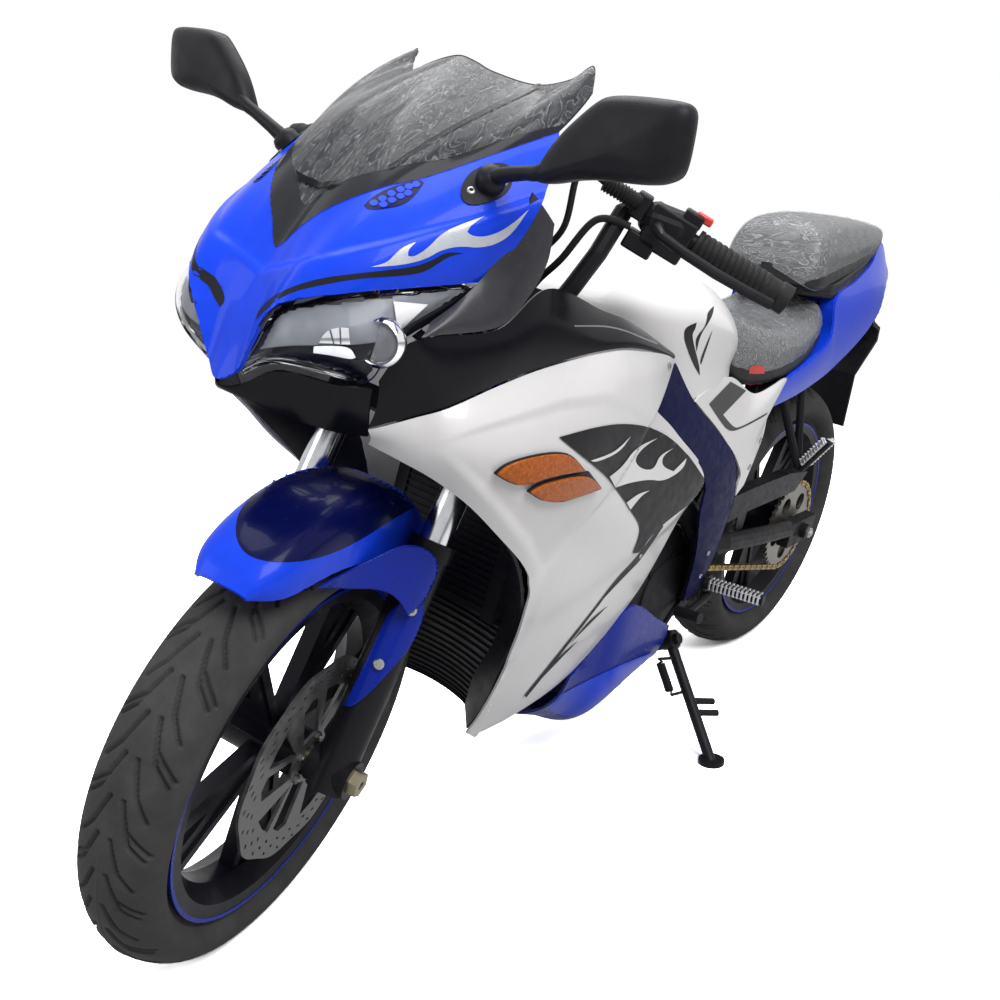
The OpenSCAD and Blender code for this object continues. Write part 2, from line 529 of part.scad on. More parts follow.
// Corners of each signal bar on the fairing's skin, as u and t, in order round it
signal_corners = [[[3.564, 0.312], [4.854, 0.478], [4.331, 0.545], [2.931, 0.340]],
    [[4.260, 0.268], [6.023, 0.400], [5.000, 0.436], [3.860, 0.296]]];
function patch_of(f, c) = function (a, b)
    let (p = (c[0] * (1 - a) + c[1] * a) * (1 - b) + (c[3] * (1 - a) + c[2] * a) * b) f(p[0], p[1]);
module turn_signals() color("#d9892b") parked() pair() {
    for (c = signal_corners)
        panel(patch_of(skin_of(flip(fairing_rows)), c), span(0, 1, 6), span(0, 1, 2), 6, 5.4);
}
module frame_covers() color("#1d2458") parked() pair()
    panel(skin_of(cover_rows), span(0, 7, 14), span(0, 1, 4));
module side_covers() color("#efefed") parked() pair()
    panel(skin_of(side_rows), span(0, 6, 12), span(0, 1, 4));
module tail_cowl() color("#1f4be0") parked() pair() panel(skin_of(tail_rows), span(0, 7, 14), span(0, 1, 5));
module tail_light() color("#a51c1c") parked() hull() {
    translate([0, 1046, 862]) cube([2 * 40.4, 14, 2], center = true);
    translate([0, 1036, 889]) cube([2 * 30.6, 14, 2], center = true);
}
module belly_pan() color("#1f3fd0") parked() panel(across_of(belly_rows), span(0, 4, 10), span(0, 2, 14));
module inner_panels() color("#1b1b1d") parked() pair()
    panel(skin_of(flip(inner_rows)), span(0, 6, 12), span(0, 1, 3));

hanger_x = 56;
tyre_back = rear_y + rear_tyre_r;
tray_rows = [for (i = [2 : 6]) let (p = tail_rows[i][0])
    [p + [-panel_wall - 1.2, 0, 6], [0, p[1], p[2] - 14], [0, 0, 0]]];
module rear_fender() color("#17181a") parked() {
    panel(across_of(tray_rows), span(0, 4, 8), span(0, 2, 6));
    multmatrix(side_on) translate([0, 0, -hanger_x]) linear_extrude(2 * hanger_x)
        polygon([[950, 762], [992, 786], [1016, 756], [tyre_back + 52, 739], [tyre_back + 58, 706],
            [tyre_back - 34, 628], [tyre_back - 21, 500], [tyre_back - 28, 500], [tyre_back - 42, 630],
            [tyre_back + 48, 709], [tyre_back + 44, 732], [1012, 747], [990, 774], [952, 752]]);
}
module cowl_stay() color("#1c1d20") parked() difference() {
    union() {
        pair() {
            tube([on_axis(540), [46, -520, 830], [88, -590, 884], [118, -590, 940]], 16);
            tab([114, -590, 930], skin_of(cowl_rows), 4.7, 0.7);
            tab([88, -592, 884], skin_of(mid_rows), 3, 0.6);
            tab([60, -544, 846], skin_of(flip(fairing_rows)), 3.4, 0.9);
            tab([84, -588, 880], bowl_f, 2.5, 0.5, 10, bowl_wall);
            tab([84, -588, 880], skin_of(insert_rows), 2, 0.5);
            tab([84, -588, 880], skin_of(chin_rows), 3, 0.5);
            tube([[80, -586, 880], [60, -560, 920], [50, -530, 944]], 12);
        }
        across(0, [0, -590, 884], 14, 180);
    }
    rod(on_axis(head_low), on_axis(head_high), 62 + 2 * seat_gap);
    cluster_box(2 * seat_gap);
}
module cluster_box(grow) translate([0, -520, 968]) rotate([30, 0, 0])
    cube([150 + grow, 90 + grow, 44 + grow], center = true);
module instrument_cluster() color("#19191b") parked() {
    cluster_box(0);
    translate([0, -520, 968]) rotate([30, 0, 0]) translate([0, -2, 24]) cube([132, 74, 6], center = true);
}
mirror_u = 5.6;
mirror_t = 0.6;
module mirrors() color("#17181a") parked() pair() {
    f = skin_of(cowl_rows);
    feet = [for (d = [-0.16, 0.16]) f(mirror_u + d, mirror_t) + out_of(f, mirror_u + d, mirror_t) * 8.6];
    hull() for (p = feet) translate(p) sphere(d = 18, $fn = 16);
    tube([(feet[0] + feet[1]) / 2, [214, -602, 1020], [252, -600, 1040]], 16);
    translate([0, -586, 0]) rotate([90, 0, 0]) linear_extrude(26)
        polygon([[236, 1036], [308, 1100], [380, 1112], [398, 1096], [392, 1048], [352, 1026], [262, 1020]]);
}
module rider_pegs() color("#c9cacc") parked() pair() {
    rod([144, 207, 322], [256, 222, 327], 22);
    translate([142 + 2.2, 214, 305]) cube([4.4, 30, 60], center = true);
}
module passenger_pegs() color("#c9cacc") parked() pair() {
    rod([132, 574, 486], [186, 546, 566], 20);
    difference() {
        union() {
            tube([[90, 455, 676], [120, 556, 512], [132, 574, 486]], 18);
            rod([88, 556, 706], [124, 566, 506], 16);
        }
        tube(sub_path, 24 + 2 * seat_gap);
        tube(strut_path, 20 + 2 * seat_gap);
    }
}
module foot_controls() color("#232427") parked() {
    tube([[153, 214, 300], [160, 130, 292], [162, 84, 304]], 14);
    rod([158, 84, 305], [206, 80, 312], 20);
    tube([[-153, 214, 300], [-160, 130, 290], [-162, 84, 300]], 14);
    rod([-158, 84, 300], [-200, 80, 304], 20);
}

// Steering
clamp_low = 452;
stem_d = 36;
clamp_high = 612;
tube_top = 640;
module triple_clamps() color("#26272a") {
    on_steer(0) for (s = [clamp_low, clamp_high]) translate([0, 0, s - 14]) difference() {
        hull() {
            cylinder(h = 28, d = 70);
            for (x = [-1, 1]) translate([x * fork_x, -fork_offset, 0]) cylinder(h = 28, d = tube_d + 17);
        }
        for (x = [-1, 1]) translate([x * fork_x, -fork_offset, -1]) cylinder(h = 30, d = tube_d + 0.4);
    }
    on_steer(0) translate([0, 0, clamp_low - 14]) cylinder(h = clamp_high - clamp_low + 34, d = stem_d);
}
module fork_tubes() color("#d5d7da") turned() for (s = [-1, 1])
    rod(on_fork(s, slider_len - 40), on_fork(s, tube_top), tube_d);
module fork_sliders() color("#202124") turned() for (s = [-1, 1]) difference() {
    union() {
        rod(on_fork(s, -24), on_fork(s, slider_len), slider_d);
        rod(on_fork(s, slider_len - 8), on_fork(s, slider_len + 14), slider_d + 6);
        across(s * fork_x, front_axle_p, 50, slider_d + 6);
    }
    rod(on_fork(s, slider_len - 41), on_fork(s, slider_len + 20), tube_d);
    across(s * fork_x, front_axle_p, axle_d, 200);
}
module front_axle() color("#b9a06a") at_front() rotate([0, 90, 0]) difference() {
    union() {
        cylinder(h = 2 * fork_x + slider_d + 6, d = axle_d, center = true);
        for (s = [-1, 1]) translate([0, 0, s * (fork_x + slider_d / 2 + 9)])
            cylinder(h = 12, d = 34, center = true, $fn = 6);
    }
    cylinder(h = 400, d = axle_bore, center = true);
}
bar_p = [247, -340, 990];
grip_end = [372, -309, 956];
grip_dir = unit(grip_end - bar_p);
bar_in = 92;
module clip_ons() color("#1b1c1e") turned() pair() difference() {
    union() {
        rod(on_fork(1, tube_top - 12.7), on_fork(1, tube_top + 14), tube_d + 16);
        tube([on_fork(1, tube_top - 2) + [20, 0, 0], [146, -394, 950], [154, -366, 1004],
            bar_p - grip_dir * (bar_in - 8)], bar_d + 2);
        rod(bar_p - grip_dir * bar_in, bar_p + grip_dir * (grip_len + 6), bar_d);
    }
    rod(on_fork(1, tube_top - 60), on_fork(1, tube_top + 0.4), tube_d + 0.4);
}
grip_ribs = 12;
module along_bar(s) translate(bar_p + grip_dir * s)
    rotate([0, acos(grip_dir[2]), atan2(grip_dir[1], grip_dir[0])]) children();
module grips() color("#141415") turned() pair() along_bar(0) rotate_extrude() {
    pitch = grip_len * 0.8 / grip_ribs;
    r = grip_d / 2;
    polygon(concat([[bar_d / 2 + 0.2, 0], [r + 2, 0], [r + 2, 5]],
        [for (k = [0 : grip_ribs - 1])
            each [[r, 6 + k * pitch], [r + 1.2, 6 + (k + 0.3) * pitch], [r + 1.2, 6 + (k + 0.7) * pitch]]],
        [[r, 7 + grip_ribs * pitch], [r, grip_len - 3], [r + 2, grip_len], [r + 2, grip_len + 14],
            [bar_d / 2 + 0.2, grip_len + 14]]));
}
module hand_controls() color("#161617") turned() pair() {
    difference() {
        hull() {
            translate(bar_p - grip_dir * 58) sphere(d = 44, $fn = 16);
            translate(bar_p - grip_dir * 28 + [0, 0, 5]) sphere(d = 44, $fn = 16);
        }
        rod(bar_p - grip_dir * 110, bar_p + grip_dir * 60, bar_d + 0.6);
    }
    tube([bar_p - grip_dir * 46 + [0, -16, 0], bar_p - grip_dir * 30 + [0, -52, -4],
        bar_p + grip_dir * 50 + [0, -64, -6], bar_p + grip_dir * 126 + [0, -56, -4]], 13, [0, 0, 1]);
}

// Columns: angle round the axle from the rear, crown radius, half width, skirt radius
fender_sections = [[119, 338, 34, 330], [112, 352, 56, 308], [95, 362, 65, 290], [78, 362, 67, 276],
    [60, 354, 67, 268], [42, 338, 67, 268], [26, 322, 67, 274]];
function fender_pt(s, t, d) = let (a = s[0], w = s[2] - d, r = s[1] - d - (s[1] - s[3]) * pow(abs(t), 3))
    [w * sin(90 * t), r * cos(a), r * sin(a)];
module front_fender() color("#1f3fd0") at_front() {
    ts = span(-1, 1, 12);
    us = span(0, 6, 12);
    sheet([for (u = us) [for (t = ts) fender_pt(row_at(fender_sections, u), -t, 0)]],
        [for (u = us) [for (t = ts) fender_pt(row_at(fender_sections, u), -t, panel_wall)]]);
    pair() translate([fork_x - slider_d / 2 - 4.3, 0, 0]) multmatrix(side_on) linear_extrude(4)
        polygon([[250, 200], [256, 128], [150, 118], [64, 96], [50, 112], [90, 190], [180, 235]]);
}
caliper_turn = 16;
front_hub_w = 114;
front_hub_d = 64;
rear_hub_d = 76;
rear_hub_w = 150;
front_disc_x = front_hub_w / 2 + disc_t / 2;
module front_caliper() color("#1d1e20") at_front() difference() {
    union() {
        rotate([caliper_turn, 0, 0]) translate([front_disc_x, front_disc_r - 12, 0])
            cube([50, 60, 92], center = true);
        rod([front_disc_x + 18, 92, 66], [fork_x - 8, 50, 108], 22);
        rod([front_disc_x + 18, 118, 40], [fork_x - 8, 30, 62], 22);
    }
    rotate([caliper_turn, 0, 0]) translate([front_disc_x, front_disc_r - 30, 0])
        cube([disc_t + 11, 80, 100], center = true);
    translate([fork_x, 0, 0]) rod([0, 0, 0], steer_dir * slider_len, slider_d + 0.6);
    rotate([0, 90, 0]) cylinder(h = 300, d = 51, center = true);
}
rear_caliper_turn = 130;
rear_disc_x = -rear_hub_w / 2 - disc_t / 2;
module rear_caliper() color("#1d1e20") parked() difference() {
    union() {
        translate(rear_axle_p) rotate([rear_caliper_turn, 0, 0]) translate([rear_disc_x, rear_disc_r - 16, 0])
            cube([34, 56, 84], center = true);
        rod(rear_axle_p + [rear_disc_x, -58, 62], [-arm_x, rear_y - 88, rear_tyre_r + 24], 20);
    }
    translate(rear_axle_p) rotate([rear_caliper_turn, 0, 0]) translate([rear_disc_x, rear_disc_r - 34, 0])
        cube([disc_t + 11, 80, 100], center = true);
    mirror([1, 0, 0]) arm_tube(2 * seat_gap);
}

// Wheels
module tyre(r, w) rotate([0, 90, 0]) rotate_extrude($fn = 96) {
    out = [for (p = tyre_half) [bead_r + (r - bead_r) * p[0], w / 2 * p[1]]];
    inn = [for (p = tyre_half) [bead_r + (r - 12 - bead_r) * p[0], (w / 2 - 9) * p[1]]];
    polygon(concat(out, [for (i = [len(out) - 2 : -1 : 0]) [out[i][0], -out[i][1]]],
        [for (p = inn) [p[0], -p[1]]], [for (i = [len(inn) - 2 : -1 : 0]) inn[i]]));
}
module rim(w, hub_d, hub_w) rotate([0, 90, 0]) {
    lip = w / 2 * 0.62 - 0.4;
    rotate_extrude($fn = 96) polygon([[rim_r, lip + 8], [rim_r, lip + 1], [bead_r - 0.4, lip - 1],
        [bead_r - 0.4, -lip + 1], [rim_r, -lip - 1], [rim_r, -lip - 8], [rim_r - 20, -lip - 5],
        [rim_r - 36, -lip * 0.4], [rim_r - 36, lip * 0.4], [rim_r - 20, lip + 5]]);
    difference() {
        union() {
            cylinder(h = hub_w, d = hub_d, center = true);
            for (k = [0 : spokes - 1], s = [-1, 1]) rotate(k * 360 / spokes) linear_extrude(22, center = true)
                polygon([[hub_d / 2 - 8, s * 10 - 6], [rim_r - 32, s * 42 - 7], [rim_r - 32, s * 42 + 7],
                    [hub_d / 2 - 8, s * 10 + 6]]);
        }
        cylinder(h = 300, d = axle_d + 2 * axle_fit, center = true);
    }
}
module disc(r, holes, x, inner_r) rotate([0, 90, 0]) translate([0, 0, x - disc_t / 2]) linear_extrude(disc_t)
    difference() {
        circle(r = r, $fn = 96);
        circle(r = inner_r);
        for (k = [0 : holes - 1], j = [0 : 2]) rotate((k + j / 3) * 360 / holes)
            translate([r - 10 - j * 11, 0]) circle(d = 6, $fn = 16);
        for (k = [0 : 5]) rotate(k * 60) translate([r - 62, 0]) circle(d = 34, $fn = 24);
        for (k = [0 : holes / 2 - 1]) rotate(k * 720 / holes + 9)
            translate([r + 6, 0]) circle(d = 20, $fn = 24);
    }
module front_tyre() color("#1a1a1b") at_front() tyre(front_tyre_r, front_tyre_w);
module front_rim() color("#17181b") at_front() rim(front_tyre_w, front_hub_d, front_hub_w);
module front_disc() color("#b4b6b9") at_front() disc(front_disc_r, 20, front_disc_x, front_hub_d / 2 - 8);
module rear_tyre() color("#1a1a1b") at_rear() tyre(rear_tyre_r, rear_tyre_w);
module rear_rim() color("#17181b") at_rear() {
    rim(rear_tyre_w, rear_hub_d, rear_hub_w);
    rotate([0, 90, 0]) difference() {
        cylinder(h = chain_x - sprocket_t / 2 - seat_gap, d = 110);
        cylinder(h = 300, d = rear_hub_d - 2, center = true);
    }
}
module rear_disc() color("#b4b6b9") at_rear() disc(rear_disc_r, 16, rear_disc_x, rear_hub_d / 2 - 8);
module rear_sprocket() color("#8f9093") at_rear() rotate([0, 90, 0])
    translate([0, 0, chain_x - sprocket_t / 2]) linear_extrude(sprocket_t) difference() {
        union() {
            circle(r = pitch_r(rear_teeth) - 4, $fn = 96);
            for (k = [0 : rear_teeth - 1]) rotate(k * 360 / rear_teeth)
                translate([pitch_r(rear_teeth) - 6, -2.5]) square([9, 5]);
        }
        circle(d = 44);
        for (k = [0 : 4]) rotate(k * 72) translate([62, 0]) circle(d = 40, $fn = 32);
    }

// Side stand: a lug on its pivot bolt, the leg, two lugs to push it out by and the foot
lug_w = 26;
module at_stand() parked() translate(stand_p) rotate([0, 90 - stand_tilt, 0]) children();
module side_stand() color("#161617") {
    leg = unit(foot_p - stand_p);
    difference() {
        union() {
            at_stand() cylinder(h = lug_w, d = 36, center = true);
            parked() rod(stand_p + leg * 8, foot_p, stand_d);
            for (s = [118, 140]) parked() rod(stand_p + leg * s, stand_p + leg * s + [26, 42, -4], 12);
            parked() translate(foot_p) rotate([0, -lean, 0]) translate([0, 0, -2]) cylinder(h = 10, d = 46);
        }
        at_stand() cylinder(h = 80, d = stand_pin + 2 * axle_fit, center = true);
        translate([0, 0, -50]) cube([2000, 2000, 100], center = true);
    }
}

main_frame();
subframe();
engine();
radiator();
exhaust();
swingarm();
rear_shock();
drive_chain();
chain_guard();
fuel_tank();
frame_covers();
side_covers();
tail_cowl();
tail_light();
rear_fender();
rider_seat();
pillion_seat();
upper_cowl();
cowl_inserts();
lower_cowl();
headlight_housing();
headlight_lenses();
windscreen();
cowl_stay();
instrument_cluster();
side_fairings();
turn_signals();
belly_pan();
inner_panels();
mirrors();
rider_pegs();
passenger_pegs();
foot_controls();
triple_clamps();
fork_tubes();
fork_sliders();
front_axle();
clip_ons();
grips();
hand_controls();
front_fender();
front_caliper();
front_tyre();
front_rim();
front_disc();
rear_caliper();
rear_tyre();
rear_rim();
rear_sprocket();
rear_disc();
side_stand();
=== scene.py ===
"""Looks of the parked sport bike: fine panels, tyres, chain, seats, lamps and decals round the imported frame.

Points are written in millimetres in the upright bike's frame, as the construction has them, and are then
turned with the bars where they ride on the steering, leaned onto the stand and scaled to metres.
"""

import math

import bpy
import numpy as np
from mathutils import Matrix, Vector, geometry
from mathutils.bvhtree import BVHTree


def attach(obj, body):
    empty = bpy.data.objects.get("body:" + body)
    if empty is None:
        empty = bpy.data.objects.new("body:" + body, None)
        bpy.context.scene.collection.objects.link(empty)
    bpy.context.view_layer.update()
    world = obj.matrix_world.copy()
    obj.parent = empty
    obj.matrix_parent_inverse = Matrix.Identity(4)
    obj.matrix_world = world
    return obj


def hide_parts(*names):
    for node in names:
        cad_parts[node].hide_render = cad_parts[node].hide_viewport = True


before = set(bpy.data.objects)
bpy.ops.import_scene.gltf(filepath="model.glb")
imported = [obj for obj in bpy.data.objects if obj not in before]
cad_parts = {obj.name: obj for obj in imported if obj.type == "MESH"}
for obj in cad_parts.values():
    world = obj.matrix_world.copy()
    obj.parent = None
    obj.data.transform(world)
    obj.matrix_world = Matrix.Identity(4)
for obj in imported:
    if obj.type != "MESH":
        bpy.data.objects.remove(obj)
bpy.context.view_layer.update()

# Stance and wheels
LEAN = math.radians(11.3)
PITCH = math.radians(0.207641)
TURN = math.radians(17)
RAKE = math.radians(26)
PARK = np.array([-207.0, -44.0, -0.980574])
FORK_OFFSET = 36
FRONT_RADIUS, FRONT_WIDTH = 293, 110
REAR_RADIUS, REAR_WIDTH = 314, 140
FRONT = np.array([0.0, -700.0, FRONT_RADIUS])
REAR = np.array([0.0, 700.0, REAR_RADIUS])
STEER_DIR = np.array([0.0, math.sin(RAKE), math.cos(RAKE)])
STEER_OUT = np.array([0.0, -math.cos(RAKE), math.sin(RAKE)])
STEER_P = FRONT - FORK_OFFSET * STEER_OUT
WALL = 3.5
SHEET = 3.0
FLIP = np.array([-1.0, 1.0, 1.0])


def turn_about(axis, angle):
    """Rotation matrix about a direction."""
    return np.array(Matrix.Rotation(angle, 3, Vector(axis)))


R_PARK = turn_about((0, 1, 0), LEAN) @ turn_about((1, 0, 0), PITCH)
R_TURN = turn_about(STEER_DIR, TURN)


def parked(p):
    """Upright millimetres to the scene's metres."""
    return (np.asarray(p, float) @ R_PARK.T + PARK) / 1000


def upright(w):
    """The scene's metres back to upright millimetres."""
    return (np.asarray(w, float) * 1000 - PARK) @ R_PARK


def turned(p):
    """Front-end millimetres, bars straight, to the scene's metres."""
    return parked((np.asarray(p, float) - STEER_P) @ R_TURN.T + STEER_P)


def straight(w):
    """The scene's metres back to front-end millimetres with the bars straight."""
    return (upright(w) - STEER_P) @ R_TURN + STEER_P


# The photo's camera
FOCAL = 1.02246
EYE = np.array([0.8582, -1.4945, 0.8614])


def camera_axes(azimuth=39.2476, elevation=12.7093, roll=-0.5197):
    """Right, up and back directions of the camera."""
    a, e, r = (math.radians(v) for v in (azimuth, elevation, roll))
    back = np.array([math.sin(a) * math.cos(e), -math.cos(a) * math.cos(e), math.sin(e)])
    right = np.cross([0, 0, 1.0], back)
    right /= np.linalg.norm(right)
    up = np.cross(back, right)
    return np.array([right * math.cos(r) + up * math.sin(r), up * math.cos(r) - right * math.sin(r), back])


AXES = camera_axes()


def pixel(p):
    """Photo position, in thousandths of its width, of upright points."""
    q = (parked(p) - EYE) @ AXES.T
    return 500 + 1000 * FOCAL * np.stack([q[..., 0], -q[..., 1]], -1) / -q[..., 2:3]


def ray(px, py):
    """Direction from the camera through a photo position."""
    q = np.array([(px - 500) / 1000 / FOCAL, -(py - 500) / 1000 / FOCAL, -1.0]) @ AXES
    return Vector(q / np.linalg.norm(q))


# Materials
MATS = {}
CLOUDS = (0.3, 0.7)
GRAIN_DEPTH = 0.0006


def set_inputs(node, **values):
    """Input values by name, with underscores for spaces."""
    for key, value in values.items():
        node.inputs[key.replace("_", " ")].default_value = value
    return node


def add_node(tree, kind, **values):
    """A new shader node with its input values."""
    return set_inputs(tree.nodes.new("ShaderNode" + kind), **values)


def link(tree, *wires):
    """Links, each from a node's output to a node's input."""
    for source, output, target, slot in wires:
        tree.links.new(source.outputs[output], target.inputs[slot])


def material(name, color, rough=0.4, metal=0.0, coat=0.0, grain=60.0, fine=900.0, bump=0.08, vary=0.06,
             spec=0.5, glass=0.0, ior=1.45, uneven=0.18):
    """A procedural finish: cloudy colour, uneven gloss and a fine surface grain."""
    mat = bpy.data.materials.new(name)
    mat.use_nodes = True
    tree = mat.node_tree
    shader = tree.nodes["Principled BSDF"]
    coords = add_node(tree, "TexCoord")
    clouds = add_node(tree, "TexNoise", Scale=grain, Detail=5)
    ramp = add_node(tree, "ValToRGB")
    low, high = ramp.color_ramp.elements
    low.position, high.position = CLOUDS
    low.color = [c * (1 - vary) for c in color] + [1]
    high.color = [min(1, c * (1 + vary)) for c in color] + [1]
    gloss = add_node(tree, "MapRange", From_Min=CLOUDS[0], From_Max=CLOUDS[1],
                     To_Min=rough * (1 - uneven), To_Max=min(1.0, rough * (1 + uneven)))
    speckle = add_node(tree, "TexNoise", Scale=fine, Detail=3)
    relief = add_node(tree, "Bump", Strength=bump, Distance=GRAIN_DEPTH)
    set_inputs(shader, Metallic=metal, Coat_Weight=coat, Coat_Roughness=0.04, Specular_IOR_Level=spec,
               Transmission_Weight=glass, IOR=ior)
    link(tree, (coords, "Object", clouds, "Vector"), (clouds, "Fac", ramp, "Fac"),
         (ramp, "Color", shader, "Base Color"), (clouds, "Fac", gloss, "Value"),
         (gloss, "Result", shader, "Roughness"), (coords, "Object", speckle, "Vector"),
         (speckle, "Fac", relief, "Height"), (relief, "Normal", shader, "Normal"))
    mat.diffuse_color = list(color) + [1]
    MATS[name] = mat
    return mat


material("frame_black", (0.010, 0.010, 0.012), 0.48, bump=0.15, spec=0.14)
material("engine_dark", (0.018, 0.018, 0.021), 0.55, 0.1, bump=0.3, spec=0.16)
material("exhaust_steel", (0.075, 0.075, 0.080), 0.36, 0.8, spec=0.3)
material("chain_gold", (0.30, 0.215, 0.08), 0.36, 0.9, vary=0.2)
material("black_plastic", (0.011, 0.011, 0.014), 0.42, bump=0.2, spec=0.16)
material("gloss_black", (0.005, 0.005, 0.008), 0.18, bump=0.02, spec=0.14)
material("grey_plastic", (0.040, 0.040, 0.048), 0.26, bump=0.12, spec=0.35)
material("pearl_white", (0.76, 0.745, 0.75), 0.30, coat=0.3, vary=0.010, bump=0.0, spec=0.35,
         uneven=0.02)
material("blue_paint", (0.007, 0.058, 0.78), 0.32, coat=0.12, vary=0.05, bump=0.01, spec=0.12,
         uneven=0.03)
# blue_dark is a much darker copy of blue_paint; on the fender's top it is a painted shadow
material("blue_dark", (0.002, 0.004, 0.055), 0.24, coat=0.10, vary=0.05, bump=0.01, spec=0.08)
# blue_deep is a darker copy of blue_paint; on the fender legs and skirts it is painted shade
material("blue_deep", (0.004, 0.020, 0.30), 0.3, coat=0.1, vary=0.05, bump=0.01, spec=0.1)
material("dark_blue", (0.005, 0.006, 0.046), 0.50, bump=0.10, spec=0.06)
material("red_lens", (0.52, 0.006, 0.006), 0.14, coat=0.2, spec=0.25)
material("amber_lens", (0.43, 0.105, 0.012), 0.2, coat=0.1, vary=0.35, grain=260, spec=0.12)
material("clear_lens", (0.95, 0.96, 0.97), 0.02, glass=1.0, ior=1.12, bump=0.01, vary=0.01)
material("smoke_screen", (0.026, 0.027, 0.032), 0.16, bump=0.02, spec=0.12)
material("reflector", (0.30, 0.31, 0.33), 0.22, 0.85, vary=0.12)
material("seat_vinyl", (0.014, 0.014, 0.016), 0.45, bump=0.5, fine=1400, spec=0.3)
material("peg_alloy", (0.62, 0.62, 0.64), 0.3, 0.8)
material("chrome_tube", (0.50, 0.51, 0.53), 0.14, 1.0, vary=0.1)
material("slider_black", (0.009, 0.009, 0.011), 0.34, bump=0.1, spec=0.14)
material("axle_brass", (0.28, 0.25, 0.17), 0.38, 0.9, vary=0.15)
material("grip_rubber", (0.012, 0.012, 0.013), 0.65, bump=0.4, spec=0.25)
material("tyre", (0.058, 0.056, 0.057), 0.78, bump=0.5, fine=700, spec=0.12, vary=0.25, grain=28)
material("rim_black", (0.005, 0.005, 0.009), 0.35, coat=0.05, spec=0.12)
material("disc_steel", (0.13, 0.13, 0.13), 0.42, 0.85, vary=0.15)
material("sprocket_steel", (0.20, 0.19, 0.17), 0.4, 0.9)
material("silver_decal", (0.52, 0.54, 0.60), 0.3, 0.1, coat=0.3)
material("dark_decal", (0.017, 0.017, 0.019), 0.42, spec=0.10)
material("grey_decal", (0.070, 0.067, 0.070), 0.42, spec=0.10)
material("red_tape", (0.66, 0.040, 0.030), 0.35, bump=0.3, vary=0.15)
material("lamp_grey", (0.19, 0.195, 0.215), 0.4, 0.1, vary=0.1, spec=0.3)
material("chrome", (0.80, 0.81, 0.83), 0.12, 1.0)
material("bolt_steel", (0.32, 0.32, 0.33), 0.35, 0.9)


def film(name, low, high, stretch):
    """Clear wrapping film: mostly see-through, with pale streaks where it is creased, a painted sheen of its
    folds.
    """
    tree = material(name, (0.50, 0.51, 0.53), 0.20, bump=0.5, fine=260).node_tree
    coords = add_node(tree, "TexCoord")
    stretched = add_node(tree, "Mapping", Scale=stretch)
    # Painted sheen: the film's opacity rises in stretched noise bands
    sheen_streaks = add_node(tree, "TexNoise", Scale=9, Detail=1.4, Roughness=0.5, Distortion=0.25)
    lines = add_node(tree, "ValToRGB")
    stops = lines.color_ramp.elements
    stops[0].position, stops[1].position = CLOUDS
    for place in (0.37, 0.385, 0.40, 0.475, 0.495, 0.515, 0.60, 0.615, 0.63):
        stops.new(place)
    for stop, level in zip(stops, (0.35, 0.15, 0.8, 0.10, 0.30, 1.0, 0.05, 0.25, 0.9, 0.15, 0.4)):
        stop.color = (level, level, level, 1)
    sheen_alpha = add_node(tree, "MapRange", To_Min=low, To_Max=high)
    link(tree, (coords, "Object", stretched, "Vector"), (stretched, "Vector", sheen_streaks, "Vector"),
         (sheen_streaks, "Fac", lines, "Fac"), (lines, "Color", sheen_alpha, "Value"),
         (sheen_alpha, "Result", tree.nodes["Principled BSDF"], "Alpha"))


film("film", 0.20, 0.72, (1.7, 10, 6))
film("screen_film", 0.0, 0.30, (12, 3, 2.4))
CAD_SHARP = 32
CAD_LOOKS = {
    "frame_black": ("main_frame", "subframe", "swingarm", "rear_shock", "cowl_stay", "rider_pegs",
                    "passenger_pegs", "foot_controls", "triple_clamps", "clip_ons"),
    "black_plastic": ("chain_guard", "rear_fender", "instrument_cluster", "hand_controls", "side_stand"),
    "engine_dark": ("engine", "radiator", "front_caliper", "rear_caliper"),
    "rim_black": ("front_rim", "rear_rim"), "exhaust_steel": ("exhaust",), "chrome_tube": ("fork_tubes",),
    "slider_black": ("fork_sliders",), "axle_brass": ("front_axle",), "sprocket_steel": ("rear_sprocket",),
    "red_lens": ("tail_light",), "grip_rubber": ("grips",)}
for look, node_names in CAD_LOOKS.items():
    for node_name in node_names:
        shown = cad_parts[node_name]
        shown.data.materials.clear()
        shown.data.materials.append(MATS[look])
        shown.data.set_sharp_from_angle(angle=math.radians(CAD_SHARP))


def piece(name, verts, faces, look, body="chassis", replaces=(), bevel=0.0, sharp=38):
    """A mesh in scene metres that rides on a body, with its finish."""
    mesh = bpy.data.meshes.new(name)
    mesh.from_pydata([tuple(v) for v in verts], [], [tuple(f) for f in faces])
    mesh.validate()
    mesh.polygons.foreach_set("use_smooth", [True] * len(mesh.polygons))
    mesh.set_sharp_from_angle(angle=math.radians(sharp))
    mesh.materials.append(MATS[look])
    obj = bpy.data.objects.new(name, mesh)
    bpy.context.scene.collection.objects.link(obj)
    if bevel:
        mod = obj.modifiers.new("edge", "BEVEL")
        mod.width = bevel / 1000
        mod.segments = 2
        mod.limit_method = "ANGLE"
        mod.angle_limit = math.radians(50)
    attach(obj, body)
    if replaces:
        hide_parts(*replaces)
    return obj


def joined(parts):
    """One list of vertices and faces from several."""
    verts, faces = [], []
    for v, f in parts:
        start = len(verts)
        verts += [tuple(p) for p in v]
        faces += [tuple(i + start for i in face) for face in f]
    return verts, faces


def inside_out(part):
    """The same part with its faces turned over."""
    return part[0], [tuple(reversed(f)) for f in part[1]]


def mirrored(part):
    """The same shape on the bike's other side."""
    return inside_out(([tuple(np.asarray(v) * FLIP) for v in part[0]], part[1]))


def pair(part):
    """A left part and its mirror image."""
    return joined([part, mirrored(part)])


